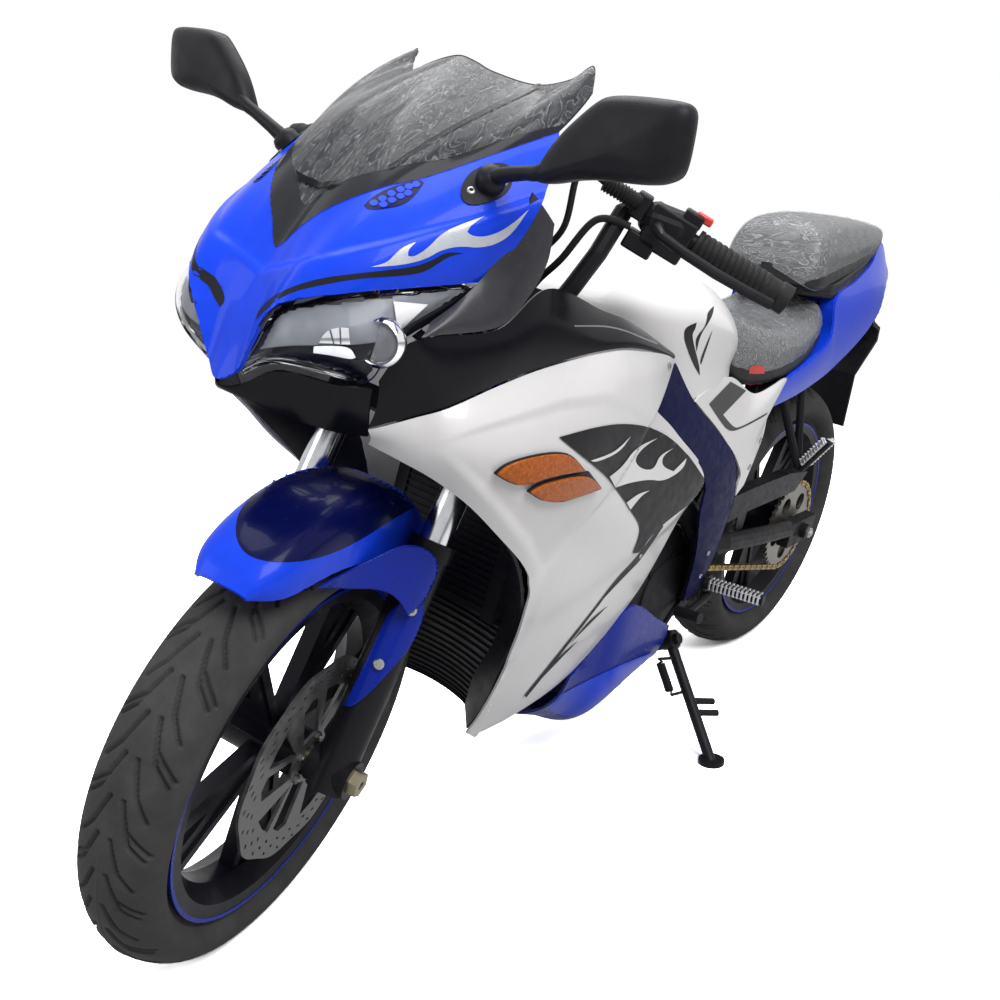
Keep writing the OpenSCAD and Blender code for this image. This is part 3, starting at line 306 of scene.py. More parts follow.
def put(name, part, look, body="chassis", place=parked, **more):
    """A part in bike millimetres, put into the scene as a piece."""
    return piece(name, place(part[0]), part[1], look, body, **more)


def pair_piece(name, part, look, *nodes, bevel=0.8):
    """A left panel and its mirror image as one piece."""
    return put(name, pair(part), look, replaces=nodes, bevel=bevel)


def middle_piece(name, part, look, *nodes, bevel=0.8):
    """A panel that crosses the bike's middle."""
    return put(name, part, look, replaces=nodes, bevel=bevel)


def grid_faces(nu, nv, start=0, loop_u=False, loop_v=False):
    """Quads of a grid of points."""
    faces = []
    for i in range(nu if loop_u else nu - 1):
        for j in range(nv if loop_v else nv - 1):
            a, b = i, (i + 1) % nu
            c, d = j, (j + 1) % nv
            faces.append((start + a * nv + c, start + a * nv + d, start + b * nv + d, start + b * nv + c))
    return faces


def capped(grid):
    """A tube of rings, closed at both ends."""
    rings, n = grid.shape[:2]
    last = (rings - 1) * n
    faces = grid_faces(rings, n, loop_v=True)
    return grid.reshape(-1, 3), faces + [tuple(reversed(range(n))), tuple(range(last, last + n))]


def circle(side, other, n):
    """Points of a unit circle in the plane of two directions."""
    t = np.linspace(0, 2 * math.pi, n, endpoint=False)
    return np.cos(t)[:, None] * side + np.sin(t)[:, None] * other


def turned_shape(profile, centre, axis, n=48):
    """A solid of revolution from radius and height pairs along any axis."""
    axis = np.array(axis, float) / np.linalg.norm(axis)
    side = np.cross(axis, [0.3, 0.2, 0.93])
    side /= np.linalg.norm(side)
    ring = circle(side, np.cross(axis, side), n)
    return capped(np.array([centre + ring * r + axis * h for r, h in profile]))


def hose(points, radius, n=14, steps=12):
    """A round tube through points; radius may be a list along it."""
    points, radii = np.array(points, float), np.atleast_1d(radius)
    last = len(points) - 1
    us = np.linspace(0, last, last * steps + 1)
    path = rows_at(points, us)
    run = np.gradient(path, axis=0)
    run /= np.linalg.norm(run, axis=1, keepdims=True)
    radii = np.interp(us, np.linspace(0, last, len(radii)), radii)
    side = np.cross(run[0], [0.2, 0.3, 0.9])
    rings = []
    for p, d, r in zip(path, run, radii):
        side = side - d * (side @ d)
        side /= np.linalg.norm(side)
        rings.append(p + r * circle(side, np.cross(d, side), n))
    return capped(np.array(rings))


def closed_sheet(outer, inner):
    """A closed shell between two equal grids."""
    nu, nv = outer.shape[:2]
    m = nu * nv
    verts = np.concatenate([outer.reshape(-1, 3), inner.reshape(-1, 3)])
    faces = [tuple(reversed(f)) for f in grid_faces(nu, nv)] + grid_faces(nu, nv, m)
    rim = [i * nv for i in range(nu)] + [(nu - 1) * nv + j for j in range(1, nv)]
    rim += [i * nv + nv - 1 for i in range(nu - 2, -1, -1)] + list(range(nv - 2, 0, -1))
    for a, b in zip(rim, rim[1:] + rim[:1]):
        faces.append((a, b, b + m, a + m))
    return verts, faces


# Skins
def rows_at(rows, u):
    """Smooth rows at places u along a table of rows."""
    rows, u = np.asarray(rows, float), np.asarray(u, float)
    last = len(rows) - 1
    i = np.clip(np.floor(u).astype(int), 0, last - 1)
    t = (u - i).reshape((-1,) + (1,) * (rows.ndim - 1))
    a, b, c, d = (rows[np.clip(i + k, 0, last)] for k in (-1, 0, 1, 2))
    bend = (2 * a - 5 * b + 4 * c - d) * t ** 2 + (3 * b - a - 3 * c + d) * t ** 3
    return 0.5 * (2 * b + (c - a) * t + bend)


def skin(rows, us, ts):
    """Grid of points of a skin whose rows are first edge, second edge and bulge."""
    r = rows_at(rows, us)[:, None]
    t = np.asarray(ts, float)[None, :, None]
    return r[:, :, 0] + (r[:, :, 1] - r[:, :, 0]) * t + r[:, :, 2] * 4 * t * (1 - t)


def normals(grid):
    """Outward directions of a grid."""
    n = np.cross(np.gradient(grid, axis=0), np.gradient(grid, axis=1))
    return n / np.maximum(np.linalg.norm(n, axis=-1, keepdims=True), 1e-9)


def flipped(rows):
    """Rows with their edges changed over."""
    return [[r[1], r[0], r[2]] for r in rows]


def both_sides(rows):
    """Rows carried over the middle to the right side."""
    rows = np.asarray(rows, float)
    return np.concatenate([rows[:0:-1] * FLIP, rows])


def sheet_on(rows, nu, nv, relief=None, across=False):
    """A closed panel on a whole skin; relief gives an extra height at each point."""
    grid = skin(rows, np.linspace(0, len(rows) - 1, nu), np.linspace(0, 1, nv))
    if across:
        grid = np.concatenate([grid, grid[:, -2::-1] * FLIP], axis=1)
    n = normals(grid)
    lift = relief(grid)[..., None] if relief else 0.0
    return closed_sheet(grid + n * lift, grid + n * (lift - WALL))


def smooth(x, a, b):
    """Smooth step from 0 at a to 1 at b."""
    t = np.clip((x - a) / (b - a), 0, 1)
    return t * t * (3 - 2 * t)


def line_side(px, line):
    """Signed distance, in photo units, of points from a polyline; positive to its right as it runs."""
    best = np.full(px.shape[:-1], 1e9)
    for a, b in zip(line[:-1], line[1:]):
        a, b = np.array(a, float), np.array(b, float)
        d = b - a
        t = np.clip(((px - a) @ d) / (d @ d), 0, 1)
        off = px - (a + t[..., None] * d)
        far = np.linalg.norm(off, axis=-1)
        side = np.sign(d[0] * off[..., 1] - d[1] * off[..., 0])
        best = np.where(far < np.abs(best), far * side, best)
    return best


# Bodywork tables of the construction
def rows_of(*table):
    """Rows of first edge, second edge and bulge from flat lines of numbers."""
    return [[r[:3], r[3:6], r[6:] + (0,) * (9 - len(r))] for r in table]


cowl_rows = rows_of(
    (0, -800, 772, 0, -731, 908, 0, -4, 0),
    (24, -792, 786, 24, -719, 934, 0, -6, 2),
    (45, -791, 821, 50, -703, 958, 2, -6, 2),
    (75, -784, 865, 85, -668, 984, 6, -8, 2),
    (125, -736, 886, 110, -629, 1000, 12, -8, 0),
    (155, -674, 896, 145, -563, 1033, 16, -6, 2),
    (180, -593, 905, 168, -492, 1063, 23, -3, 5))
screen_top = [[0, -479, 1131], [26, -480, 1126], [55, -478, 1117], [98, -455, 1110], [126, -428, 1121],
              [141, -408, 1139], [162, -432, 1110]]
screen_bulge = [[0, -10, 15], [3, -10, 15], [6, -9, 13], [10, -8, 10], [10, -7, 7], [9, -5, 5], [4, 0, 2]]
screen_rows = [[np.add(c[1], [0, 0, 0.8]), t, b] for c, t, b in zip(cowl_rows, screen_top, screen_bulge)]
lens_low = [[24, -786, 779], [58, -768, 799], [95, -721, 790], [127, -702, 791], [153, -690, 834],
            [177, -603, 899]]
lens_rows = [[np.add(cowl_rows[i + 1][0], [0, 3.4, -4.6]), lens_low[i],
              np.array([28, -22, -2]) * (0, 0.65, 1, 0.85, 0.2, 0)[i]] for i in range(6)]
chin_low = [[0, -790, 757], [30, -773, 749], [60, -735, 733], [85, -699, 722], [119, -687, 726]]
chin_top = [[0, -796, 764], [24, -784, 770], [58, -764, 790], [95, -718, 781], [130, -698, 783]]
chin_rows = [[a, b, [0, -2, 0]] for a, b in zip(chin_low, chin_top)]
fairing_rows = rows_of(
    (124, -692, 735, 112, -678, 714, 4),
    (165, -665, 758, 150, -664, 704, 14),
    (190, -642, 773, 180, -640, 688, 22),
    (204, -575, 796, 200, -596, 655, 30),
    (210, -503, 811, 213, -548, 610, 32),
    (208, -388, 819, 212, -500, 570, 34),
    (202, -295, 814, 206, -468, 540, 33),
    (188, -170, 787, 204, -458, 522, 30),
    (186, -206, 734, 202, -450, 505, 28),
    (188, -116, 675, 198, -446, 480, 24),
    (184, 29, 574, 188, -440, 440, 20),
    (177, -20, 506, 178, -434, 405, 18),
    (172, -100, 385, 165, -428, 360, 16),
    (150, -222, 280, 146, -426, 308, 12),
    (135, -330, 240, 130, -425, 268, 6),
    (122, -412, 230, 118, -428, 242, 2))
mid_top = [[136, -696, 794], [162, -690, 836], [178, -664, 849], [199, -586, 858], [194, -500, 898],
           [186, -369, 866], [183, -290, 846], [176, -160, 798]]
mid_rows = [[np.add(f[0], [0, 0, 2.8]), m, [5, 0, 0]] for f, m in zip(fairing_rows, mid_top)]
insert_rows = rows_of(
    (174, -680, 848, 169, -664, 862, 2),
    (181, -664, 851, 176, -632, 884, 4),
    (201, -588, 861, 186, -588, 905, 4),
    (203, -545, 895, 193, -570, 936, 4),
    (203, -523, 930, 199, -552, 966, 3),
    (202, -520, 970, 200, -541, 995, 1))
cover_rows = rows_of(
    (180, -162, 780, 176, -138, 778, 1),
    (178, -200, 735, 172, -51, 712, 3),
    (180, -110, 672, 168, 56, 650, 5),
    (177, 36, 574, 165, 162, 583, 5),
    (172, 62, 500, 160, 210, 500, 5),
    (164, 95, 430, 155, 212, 437, 4),
    (154, 119, 377, 149, 200, 363, 3),
    (140, 140, 300, 142, 178, 310, 1))
side_rows = rows_of(
    (171, -40, 708, 168, -24, 714, 0),
    (167, 58, 654, 146, 113, 727, 2),
    (165, 116, 618, 142, 239, 684, 3),
    (163, 166, 586, 140, 366, 700, 4),
    (160, 214, 545, 142, 318, 645, 3),
    (158, 218, 520, 147, 303, 590, 2),
    (157, 222, 498, 153, 256, 512, 0))
tail_rows = rows_of(
    (136, 322, 644, 139, 372, 699, 2),
    (124, 470, 652, 132, 480, 722, 4),
    (110, 614, 668, 122, 585, 760, 5),
    (102, 700, 686, 108, 600, 836, 7),
    (90, 830, 722, 92, 720, 862, 8),
    (78, 930, 757, 74, 840, 895, 8),
    (66, 1000, 795, 48, 940, 938, 6),
    (44, 1056, 862, 34, 1045, 892, 2))
inner_rows = rows_of(
    (173, -631, 688, 156, -470, 690, 0),
    (193, -589, 654, 150, -446, 640, 0),
    (203, -499, 568, 134, -425, 560, 0),
    (189, -443, 470, 132, -405, 460, 0),
    (167, -431, 390, 124, -400, 390, 0),
    (139, -421, 300, 84, -384, 305, 0),
    (113, -421, 244, 74, -382, 250, 0))
belly_rows = rows_of(
    (140, 104, 262, 0, 94, 130, 34, 0, -26),
    (152, 30, 302, 0, 20, 108, 36, 0, -44),
    (167.2, -98, 371, 0, -100, 112, 44, 0, -84),
    (157, -160, 325, 0, -150, 116, 36, 0, -44),
    (147, -218, 270.6, 0, -190, 124, 24, 0, -14))


# Panels
EVEN_ROUNDS = 110


def fairing_relief(grid):
    """A step under the top edge, a flange along the wheel arch, a shallow bowl and evened side curves."""
    px = pixel(grid)
    band = line_side(px, [(400, 452), (431, 447), (487, 428), (567, 404), (608, 400), (634, 410),
                          (652, 424)])
    flange = line_side(px, [(430, 450), (447, 455), (495, 500), (530, 543), (543, 576), (540, 600),
                            (512, 660)])
    bowl = np.hypot((px[..., 0] - 585) / 46, (px[..., 1] - 552) / 50)
    even = grid[..., 0].copy()
    for _ in range(EVEN_ROUNDS):
        even[1:-1] = (even[:-2] + 2 * even[1:-1] + even[2:]) / 4
    steps = 5.0 * smooth(flange, -7, 7) - 3.5 * smooth(band, -4, 4)
    return (steps + even - grid[..., 0]) * smooth(px[..., 0], 425, 500) - 7 * np.exp(-bowl ** 2 * 1.6)


def cowl_relief(grid):
    """The long crease from the nose to the mirror, on both sides."""
    left = grid.copy()
    left[..., 0] = np.abs(left[..., 0])
    crease = line_side(pixel(left), [(232, 300), (254, 272), (320, 258), (390, 242), (470, 220),
                                     (560, 190)])
    return 4.0 * smooth(crease, -5, 5) - 4.0 * smooth(crease, 0, 60)


cowl = sheet_on(both_sides(cowl_rows), 145, 41, cowl_relief)
middle_piece("cowl_panel", cowl, "blue_paint", "upper_cowl")
middle_piece("screen_panel", sheet_on(both_sides(screen_rows), 145, 41), "smoke_screen", "windscreen")
tucked = [[a, np.add(b, [-5, -15, 5]) if i > 1 else b, c] for i, (a, b, c) in enumerate(insert_rows)]
pair_piece("insert_panels", sheet_on(tucked, 61, 21), "grey_plastic", "cowl_inserts")
chin = sheet_on(both_sides(chin_rows), 81, 15)
mid = sheet_on(mid_rows, 85, 21)
middle_piece("chin_and_mid", joined([chin, pair(mid)]), "gloss_black", "lower_cowl")
fairing = sheet_on(flipped(fairing_rows), 226, 51, fairing_relief)
pair_piece("fairing_panels", fairing, "pearl_white", "side_fairings")
covers = sheet_on(cover_rows, 85, 21)
pair_piece("cover_panels", covers, "dark_blue", "frame_covers")
sides = sheet_on(side_rows, 73, 21)
pair_piece("side_panels", sides, "pearl_white", "side_covers")
pair_piece("tail_panels", sheet_on(tail_rows, 99, 25), "blue_paint", "tail_cowl")
pair_piece("inner_arch", sheet_on(flipped(inner_rows), 73, 17), "black_plastic", "inner_panels")
belly = sheet_on(belly_rows, 81, 31, across=True)
middle_piece("belly_shell", belly, "blue_deep", "belly_pan")
pair_piece("lamp_lenses", sheet_on(flipped(lens_rows), 61, 21), "clear_lens", "headlight_lenses", bevel=0.4)


# Sheets along panel edges
def edge_of(rows, places):
    """Points along the second edge of a skin."""
    return rows_at([r[1] for r in rows], places)


def arched(edge, axis, crown, n=25):
    """A grid from an edge over to its mirror image, crowned along one axis."""
    t = np.linspace(-1, 1, n)
    grid = np.repeat(edge[:, None], n, axis=1)
    grid[..., 0] *= t
    grid[..., axis] += crown * (1 - t ** 2)
    return grid


slat_places = np.linspace(3.65, 6.0, 121)
shroud = arched(edge_of(inner_rows, slat_places), 1, 12)
shroud[..., 1] += 3.0 * (slat_places * 7 % 1.0)[:, None]
middle_piece("radiator_shroud", closed_sheet(shroud, shroud + [0, SHEET, 0]), "black_plastic")
cap = arched(edge_of(tail_rows, np.linspace(5.55, 7.0, 41)), 2, 7) - [0, 0, 1]
middle_piece("tail_cap", closed_sheet(cap, cap - [0, 0, SHEET]), "blue_paint")
lip_edge = edge_of(tail_rows, np.linspace(0.3, 6.0, 90))
lips = np.stack([lip_edge + np.array([-34.0, 5, -9]) * k for k in (0.0, 0.06, 0.5, 1.0)], 1)
pair_piece("tail_lips", closed_sheet(lips, lips - [0, 0, SHEET]), "blue_paint")


# Tank and seats: closed bodies through half sections
def loft(sections, half_of, nu, ring):
    """A smooth body through half sections that run from the top middle round the left to the bottom."""
    rings = []
    for s in rows_at(sections, np.linspace(0, len(sections) - 1, nu)):
        half = np.array(half_of(s))
        loop = np.concatenate([half, half[-2:0:-1] * FLIP[:2]])
        around = np.concatenate([loop[-2:], loop, loop[:3]])
        pts = rows_at(around, 2 + np.linspace(0, len(loop), ring, endpoint=False))
        rings.append(np.stack([pts[:, 0], np.full(ring, s[0]), pts[:, 1]], -1))
    return inside_out(capped(np.array(rings)))


tank_sections = [[-318, 62, 864, 842, 800], [-284, 114, 884, 850, 762], [-200, 156, 900, 846, 715],
                 [-80, 168, 903, 836, 690], [40, 160, 892, 812, 690], [120, 142, 868, 790, 700],
                 [172, 112, 838, 770, 720]]


def tank_half(s):
    """Half section of the tank."""
    _, w, t, m, b = s
    return [[0, t], [w * 0.45, t - (t - m) * 0.10], [w * 0.8, t - (t - m) * 0.45], [w, m],
            [w * 0.97, m - (m - b) * 0.5], [w * 0.9, b], [0, b]]


rider_sections = [[178, 74, 836, 744], [225, 108, 818, 696], [320, 126, 800, 690], [420, 124, 796, 702],
                  [510, 114, 804, 724], [572, 100, 828, 744]]
pillion_sections = [[482, 84, 900, 858], [512, 100, 960, 850], [580, 98, 982, 858], [700, 88, 984, 880],
                    [830, 74, 980, 906], [920, 54, 972, 936], [958, 38, 958, 944]]
base_sections = [[492, 76, 868, 838], [560, 94, 864, 834], [600, 100, 868, 832], [700, 88, 886, 850],
                 [830, 70, 912, 884], [920, 46, 940, 918]]


def pad_half(s):
    """Half section of a seat pad."""
    _, w, t, b = s
    h = t - b
    return [[0, t], [w * 0.5, t - h * 0.04], [w * 0.82, t - h * 0.14], [w * 0.98, t - h * 0.42],
            [w, t - h * 0.7], [w * 0.94, b], [0, b]]


def base_half(s):
    """Half section of the seat's base."""
    _, w, t, b = s
    return [[0, t], [w * 0.6, t], [w, t - 4], [w, (t + b) / 2], [w * 0.94, b], [0, b]]


tank = loft(tank_sections, tank_half, 61, 64)
middle_piece("tank_shell", tank, "pearl_white", "fuel_tank", bevel=3)
rider = middle_piece("rider_pad", loft(rider_sections, pad_half, 61, 64), "seat_vinyl", "rider_seat", bevel=4)
pillion = middle_piece("pillion_pad", loft(pillion_sections, pad_half, 61, 64), "seat_vinyl", "pillion_seat",
                       bevel=4)
middle_piece("pillion_base", loft(base_sections, base_half, 41, 48), "black_plastic", bevel=2)


# Wheels: tyres with moulded grooves, painted lips, drilled discs and broad spokes
tyre_half = [[0, 0.58], [0.2, 0.58], [0.25, 0.74], [0.36, 0.93], [0.50, 1], [0.66, 0.93], [0.80, 0.77],
             [0.91, 0.53], [0.98, 0.25], [1, 0]]
BEAD = 216.0
TYRE_WALL = 12
GROOVES, GROOVE_DEPTH = 20, 5.0
SEAM_HEIGHT = 0.8
DISC_THICK = 4.5
SPOKES = 5
FRONT_HUB, REAR_HUB = 114, 150
FRONT_DISC_X, REAR_DISC_X = (FRONT_HUB + DISC_THICK) / 2, -(REAR_HUB + DISC_THICK) / 2


def tyre_part(centre, radius, width, turns):
    """A tyre as a closed ring, with slanted grooves cut in its tread on both sides of the middle."""
    out = [[BEAD + (radius - BEAD) * r, width / 2 * w] for r, w in tyre_half]
    inn = [[BEAD + (radius - TYRE_WALL - BEAD) * r, (width / 2 - 9) * w] for r, w in tyre_half]
    full = np.array(out + [[r, -w] for r, w in out[-2::-1]])
    back = np.array([[r, -w] for r, w in inn] + inn[-2::-1])
    places = np.concatenate([np.linspace(0, 4.4, 9), np.linspace(4.5, 13.5, 67), np.linspace(13.6, 18, 9)])
    profile = rows_at(full, places)
    lining = rows_at(back, np.linspace(0, len(back) - 1, 9))
    angle = np.linspace(0, 2 * math.pi, turns, endpoint=False)
    step = np.linalg.norm(np.diff(profile, axis=0), axis=1)
    side = np.concatenate([[0], np.cumsum(step)])
    side = side - side[-1] / 2
    reach = np.abs(side)[None, :]
    pitch = 2 * math.pi * radius / GROOVES
    along = angle[:, None] * radius + np.where(side > 0, 0, pitch / 2)[None, :]
    cut = np.zeros((turns, len(profile)))
    for shift, a, b, c in ((0.0, (9, 4), (27, 42), (50, 66)), (0.33, (22, 8), (34, 34), (60, 52)),
                           (0.66, (12, 18), (26, 48), (66, 74))):
        for p, q in ((a, b), (b, c)):
            run = np.array([q[1] - p[1], (q[0] - p[0]) * width / 140], float)
            du = (along - p[1] + shift * pitch + pitch / 2) % pitch - pitch / 2
            for turn in (-pitch, 0.0, pitch):
                dv = reach - p[0] * width / 140
                k = np.clip(((du + turn) * run[0] + dv * run[1]) / (run @ run), 0, 1)
                near = np.hypot(du + turn - k * run[0], dv - k * run[1])
                cut = np.maximum(cut, 1 - smooth(near, 0.6, 3.6))
    depth = GROOVE_DEPTH * cut - SEAM_HEIGHT * (1 - smooth(reach, 0.5, 1.6))
    normal = np.stack([-np.gradient(profile[:, 1]), np.gradient(profile[:, 0])], -1)
    normal /= np.linalg.norm(normal, axis=1, keepdims=True)
    r = profile[None, :, 0] - normal[None, :, 0] * depth
    x = profile[None, :, 1] - normal[None, :, 1] * depth
    r = np.concatenate([r, np.repeat(lining[None, :, 0], turns, 0)], 1)
    x = np.concatenate([x, np.repeat(lining[None, :, 1], turns, 0)], 1)
    grid = np.stack([x, r * np.cos(angle)[:, None], r * np.sin(angle)[:, None]], -1) + centre
    return grid.reshape(-1, 3), grid_faces(turns, grid.shape[1], loop_u=True, loop_v=True)


def revolve(profile, centre, n=128):
    """A ring from a closed profile of radius and side distance, round the wheel's axle."""
    profile = np.asarray(profile, float)
    angle = np.linspace(0, 2 * math.pi, n, endpoint=False)[:, None]
    grid = np.stack([np.repeat(profile[None, :, 1], n, 0), profile[None, :, 0] * np.cos(angle),
                     profile[None, :, 0] * np.sin(angle)], -1) + centre
    return grid.reshape(-1, 3), grid_faces(n, len(profile), loop_u=True, loop_v=True)


def lip_part(width, centre):
    """Painted bands on both lips of a rim."""
    lip = width / 2 * 0.62 - 0.4
    band = np.array([[228.5, lip + 4], [228.5, lip + 8.6], [223.5, lip + 8.0], [223.5, lip + 6.0],
                     [227, lip + 6.4]])
    return joined([revolve(band, centre), revolve(band * [1, -1], centre)])


def within(points, loop):
    """One for each point that lies inside a closed outline."""
    a, b = loop, np.roll(loop, -1, axis=0)
    inside = np.zeros(len(points), bool)
    for p, q in zip(a, b):
        spans = (p[1] > points[:, 1]) != (q[1] > points[:, 1])
        rise = q[1] - p[1] if q[1] != p[1] else 1e-9
        inside ^= spans & (points[:, 0] < (q[0] - p[0]) * (points[:, 1] - p[1]) / rise + p[0])
    return inside.astype(int)


def plate_of(outlines, x, thick):
    """A flat plate across the axle from one outer outline and the holes in it."""
    flat, edges = [], []
    for loop in outlines:
        first = len(flat)
        flat += [Vector(p) for p in loop]
        edges += [(first + k, first + (k + 1) % len(loop)) for k in range(len(loop))]
    spots, _, tris, _, _, _ = geometry.delaunay_2d_cdt(flat, edges, [], 0, 1e-5)
    spots = np.array([tuple(p) for p in spots])
    middles = spots[np.array([tuple(t) for t in tris])].mean(1)
    crossed = np.zeros(len(middles), int)
    for loop in outlines:
        crossed += within(middles, np.array(loop))
    tris = [tuple(t) for t, c in zip(tris, crossed) if c == 1]
    n = len(spots)
    verts = np.concatenate([np.column_stack([np.full(n, x + d), spots[:, 1], -spots[:, 0]])
                            for d in (-thick / 2, thick / 2)])
    sides = {}
    for t in tris:
        for k in range(3):
            a, b = t[k], t[(k + 1) % 3]
            if (b, a) in sides:
                del sides[(b, a)]
            else:
                sides[(a, b)] = True
    faces = [tuple(reversed(t)) for t in tris] + [tuple(v + n for v in t) for t in tris]
    return verts, faces + [(a, b, b + n, a + n) for a, b in sides]


def ring_line(r, n=72, wave=0.0, lobes=10):
    """A circle, or one with a scalloped edge."""
    t = np.linspace(0, 2 * math.pi, n, endpoint=False)
    reach = r - wave * (0.5 + 0.5 * np.cos(lobes * t))
    return list(zip(reach * np.cos(t), reach * np.sin(t)))


def at(r, t):
    """A place at a radius and an angle in degrees."""
    return r * math.cos(math.radians(t)), r * math.sin(math.radians(t))


def disc_part(radius, inner, x, centre, holes):
    """A drilled brake disc with five triangle pairs in its carrier, and the carrier's bolts."""
    outlines = [ring_line(radius, 160, 4.0, 10), ring_line(inner, 48)]
    for k in range(holes):
        for j in range(3):
            turn = (k + j / 3) * 360 / holes
            px, py = at(radius - 9.5 - j * 8.5, turn)
            slot, side = at(2.6, turn + 60), at(1.7, turn + 150)
            outlines.append([(px + slot[0] * a + side[0] * b, py + slot[1] * a + side[1] * b)
                             for a, b in ((1.5, 0), (1, 1), (-1, 1), (-1.5, 0), (-1, -1), (1, -1))])
    low, high = inner + 14, radius - 38
    for k in range(SPOKES):
        turn = k * 360 / SPOKES
        outlines.append([at(high, turn + 5), at(high, turn + 18), at(high, turn + 31),
                         at(low + 3, turn + 18)])
        outlines.append([at(low, turn + 25), at(high - 5, turn + 38), at(high, turn + 48),
                         at(high - 5, turn + 58), at(low, turn + 70), at(low - 3, turn + 48)])
    parts = [plate_of(outlines, x, DISC_THICK)]
    for k in range(SPOKES):
        a, b = at(inner + 7, k * 360 / SPOKES + 20)
        out = 1 if x > 0 else -1
        parts.append(turned_shape([(6, 2), (6, 6), (4, 7), (3, 5)], np.array([x, b, -a]), (out, 0, 0), 6))
    verts, faces = joined(parts)
    return verts + centre, faces


def web_part(hub, centre):
    """Five broad spoke webs between the thin ribs of a cast wheel."""
    parts = []
    for k in range(SPOKES):
        t = math.radians(k * 360 / SPOKES)
        turn = np.array([[math.cos(t), -math.sin(t)], [math.sin(t), math.cos(t)]])
        flat = np.array([(hub - 8, -12), (198, -44), (198, -14), (150, -7), (128, 0), (150, 7), (198, 14),
                         (198, 44), (hub - 8, 12)], float)
        parts.append(plate_of([[tuple(p) for p in flat @ turn.T]], 0, 15))
    verts, faces = joined(parts)
    return verts + centre, faces


# Name, placing, axle, tyre radius and width, steps round the tyre, hub radius and disc of each wheel
WHEELS = (
    ("front", turned, FRONT, FRONT_RADIUS, FRONT_WIDTH, 1020, 32, (140, 24, FRONT_DISC_X, FRONT, 24)),
    ("rear", parked, REAR, REAR_RADIUS, REAR_WIDTH, 700, 38, (110, 30, REAR_DISC_X, REAR, 18)))
for end, place, centre, radius, width, turns, hub, disc in WHEELS:
    body = f"{end}_wheel"
    put(f"{end}_tread", tyre_part(centre, radius, width, turns), "tyre", body, place,
        replaces=[f"{end}_tyre"])
    put(f"{end}_lip", lip_part(width, centre), "blue_deep", body, place)
    put(f"{end}_rotor", disc_part(*disc), "disc_steel", body, place, replaces=[f"{end}_disc"])
    put(f"{end}_webs", web_part(hub, centre), "rim_black", body, place, bevel=2.0)

# Front fender
fender_sections = [[119, 338, 34, 330], [112, 352, 56, 308], [95, 362, 65, 290], [78, 362, 67, 276],
                   [60, 354, 67, 268], [42, 338, 67, 268], [26, 322, 67, 274]]


def fender_part(nu=97, nv=61):
    """The fender's shell."""
    s = rows_at(fender_sections, np.linspace(0, 6, nu))[:, None]
    t = np.linspace(1, -1, nv)[None, :]
    a = np.radians(s[..., 0])
    grids = []
    for d in (0.0, WALL):
        r = s[..., 1] - d - (s[..., 1] - s[..., 3]) * np.abs(t) ** 3
        w = s[..., 2] - d
        grids.append(np.stack([w * np.sin(np.pi / 2 * t), r * np.cos(a), r * np.sin(a)], -1) + FRONT)
    return closed_sheet(*grids)


fender = fender_part()
put("fender_shell", fender, "blue_paint", "steering", turned, replaces=["front_fender"], bevel=0.8)

# Drive chain
PITCH_MM = 15.875
SPROCKET_P = np.array([0.0, 104.0, 392.0])
CHAIN_X = 86.0
_, BACK, DROP = REAR - SPROCKET_P
RUN = math.hypot(BACK, DROP)
SLOPE = math.atan2(DROP, BACK)
R_FRONT, R_REAR = (PITCH_MM / (2 * math.sin(math.pi / n)) for n in (14, 40))
WRAP = math.asin((R_REAR - R_FRONT) / RUN)


def chain_path():
    """Pin places along the chain's pitch line, front sprocket at the origin."""
    a = np.linspace(math.pi / 2 + WRAP, 3 * math.pi / 2 - WRAP, 200)
    b = np.linspace(-math.pi / 2 - WRAP, math.pi / 2 + WRAP, 400)
    pts = np.concatenate([R_FRONT * np.stack([np.cos(a), np.sin(a)], -1),
                          [RUN, 0] + R_REAR * np.stack([np.cos(b), np.sin(b)], -1)])
    pts = np.concatenate([pts, pts[:1]])
    run = np.concatenate([[0], np.cumsum(np.linalg.norm(np.diff(pts, axis=0), axis=1))])
    links = 2 * round(run[-1] / PITCH_MM / 2)
    pins = np.linspace(0, run[-1], links, endpoint=False)
    return np.stack([np.interp(pins, run, pts[:, 0]), np.interp(pins, run, pts[:, 1])], -1)


def prism(ring, x0, x1):
    """A closed bar between two copies of a ring of side-view points."""
    k = len(ring)
    verts = [(x, y, z) for x in (x0, x1) for y, z in ring]
    faces = [(j, (j + 1) % k, k + (j + 1) % k, k + j) for j in range(k)]
    return verts, faces + [tuple(reversed(range(k))), tuple(range(k, 2 * k))]


def plate(p, q, x, thick, wide):
    """One waisted link plate between two pins."""
    d = (q - p) / np.linalg.norm(q - p)
    n = np.array([-d[1], d[0]])
    mid = (p + q) / 2
    half = np.linalg.norm(q - p) / 2
    t = np.linspace(0, 2 * math.pi, 24, endpoint=False)
    along = np.cos(t) * (half + wide) * (1 - 0.02 * np.cos(2 * t))
    waist = 1 - 0.22 * np.exp(-(along / 4.5) ** 2)
    high = np.sign(np.sin(t)) * wide * np.abs(np.sin(t)) ** 0.6 * waist
    ring = mid + along[:, None] * d + high[:, None] * n
    return prism(ring, x - thick / 2, x + thick / 2)


def barrel(p, half, r, n=10):
    """A pin or roller across the chain."""
    t = np.linspace(0, 2 * math.pi, n, endpoint=False)
    ring = [(p[0] + r * math.cos(k), p[1] + r * math.sin(k)) for k in t]
    return prism(ring, CHAIN_X - half, CHAIN_X + half)


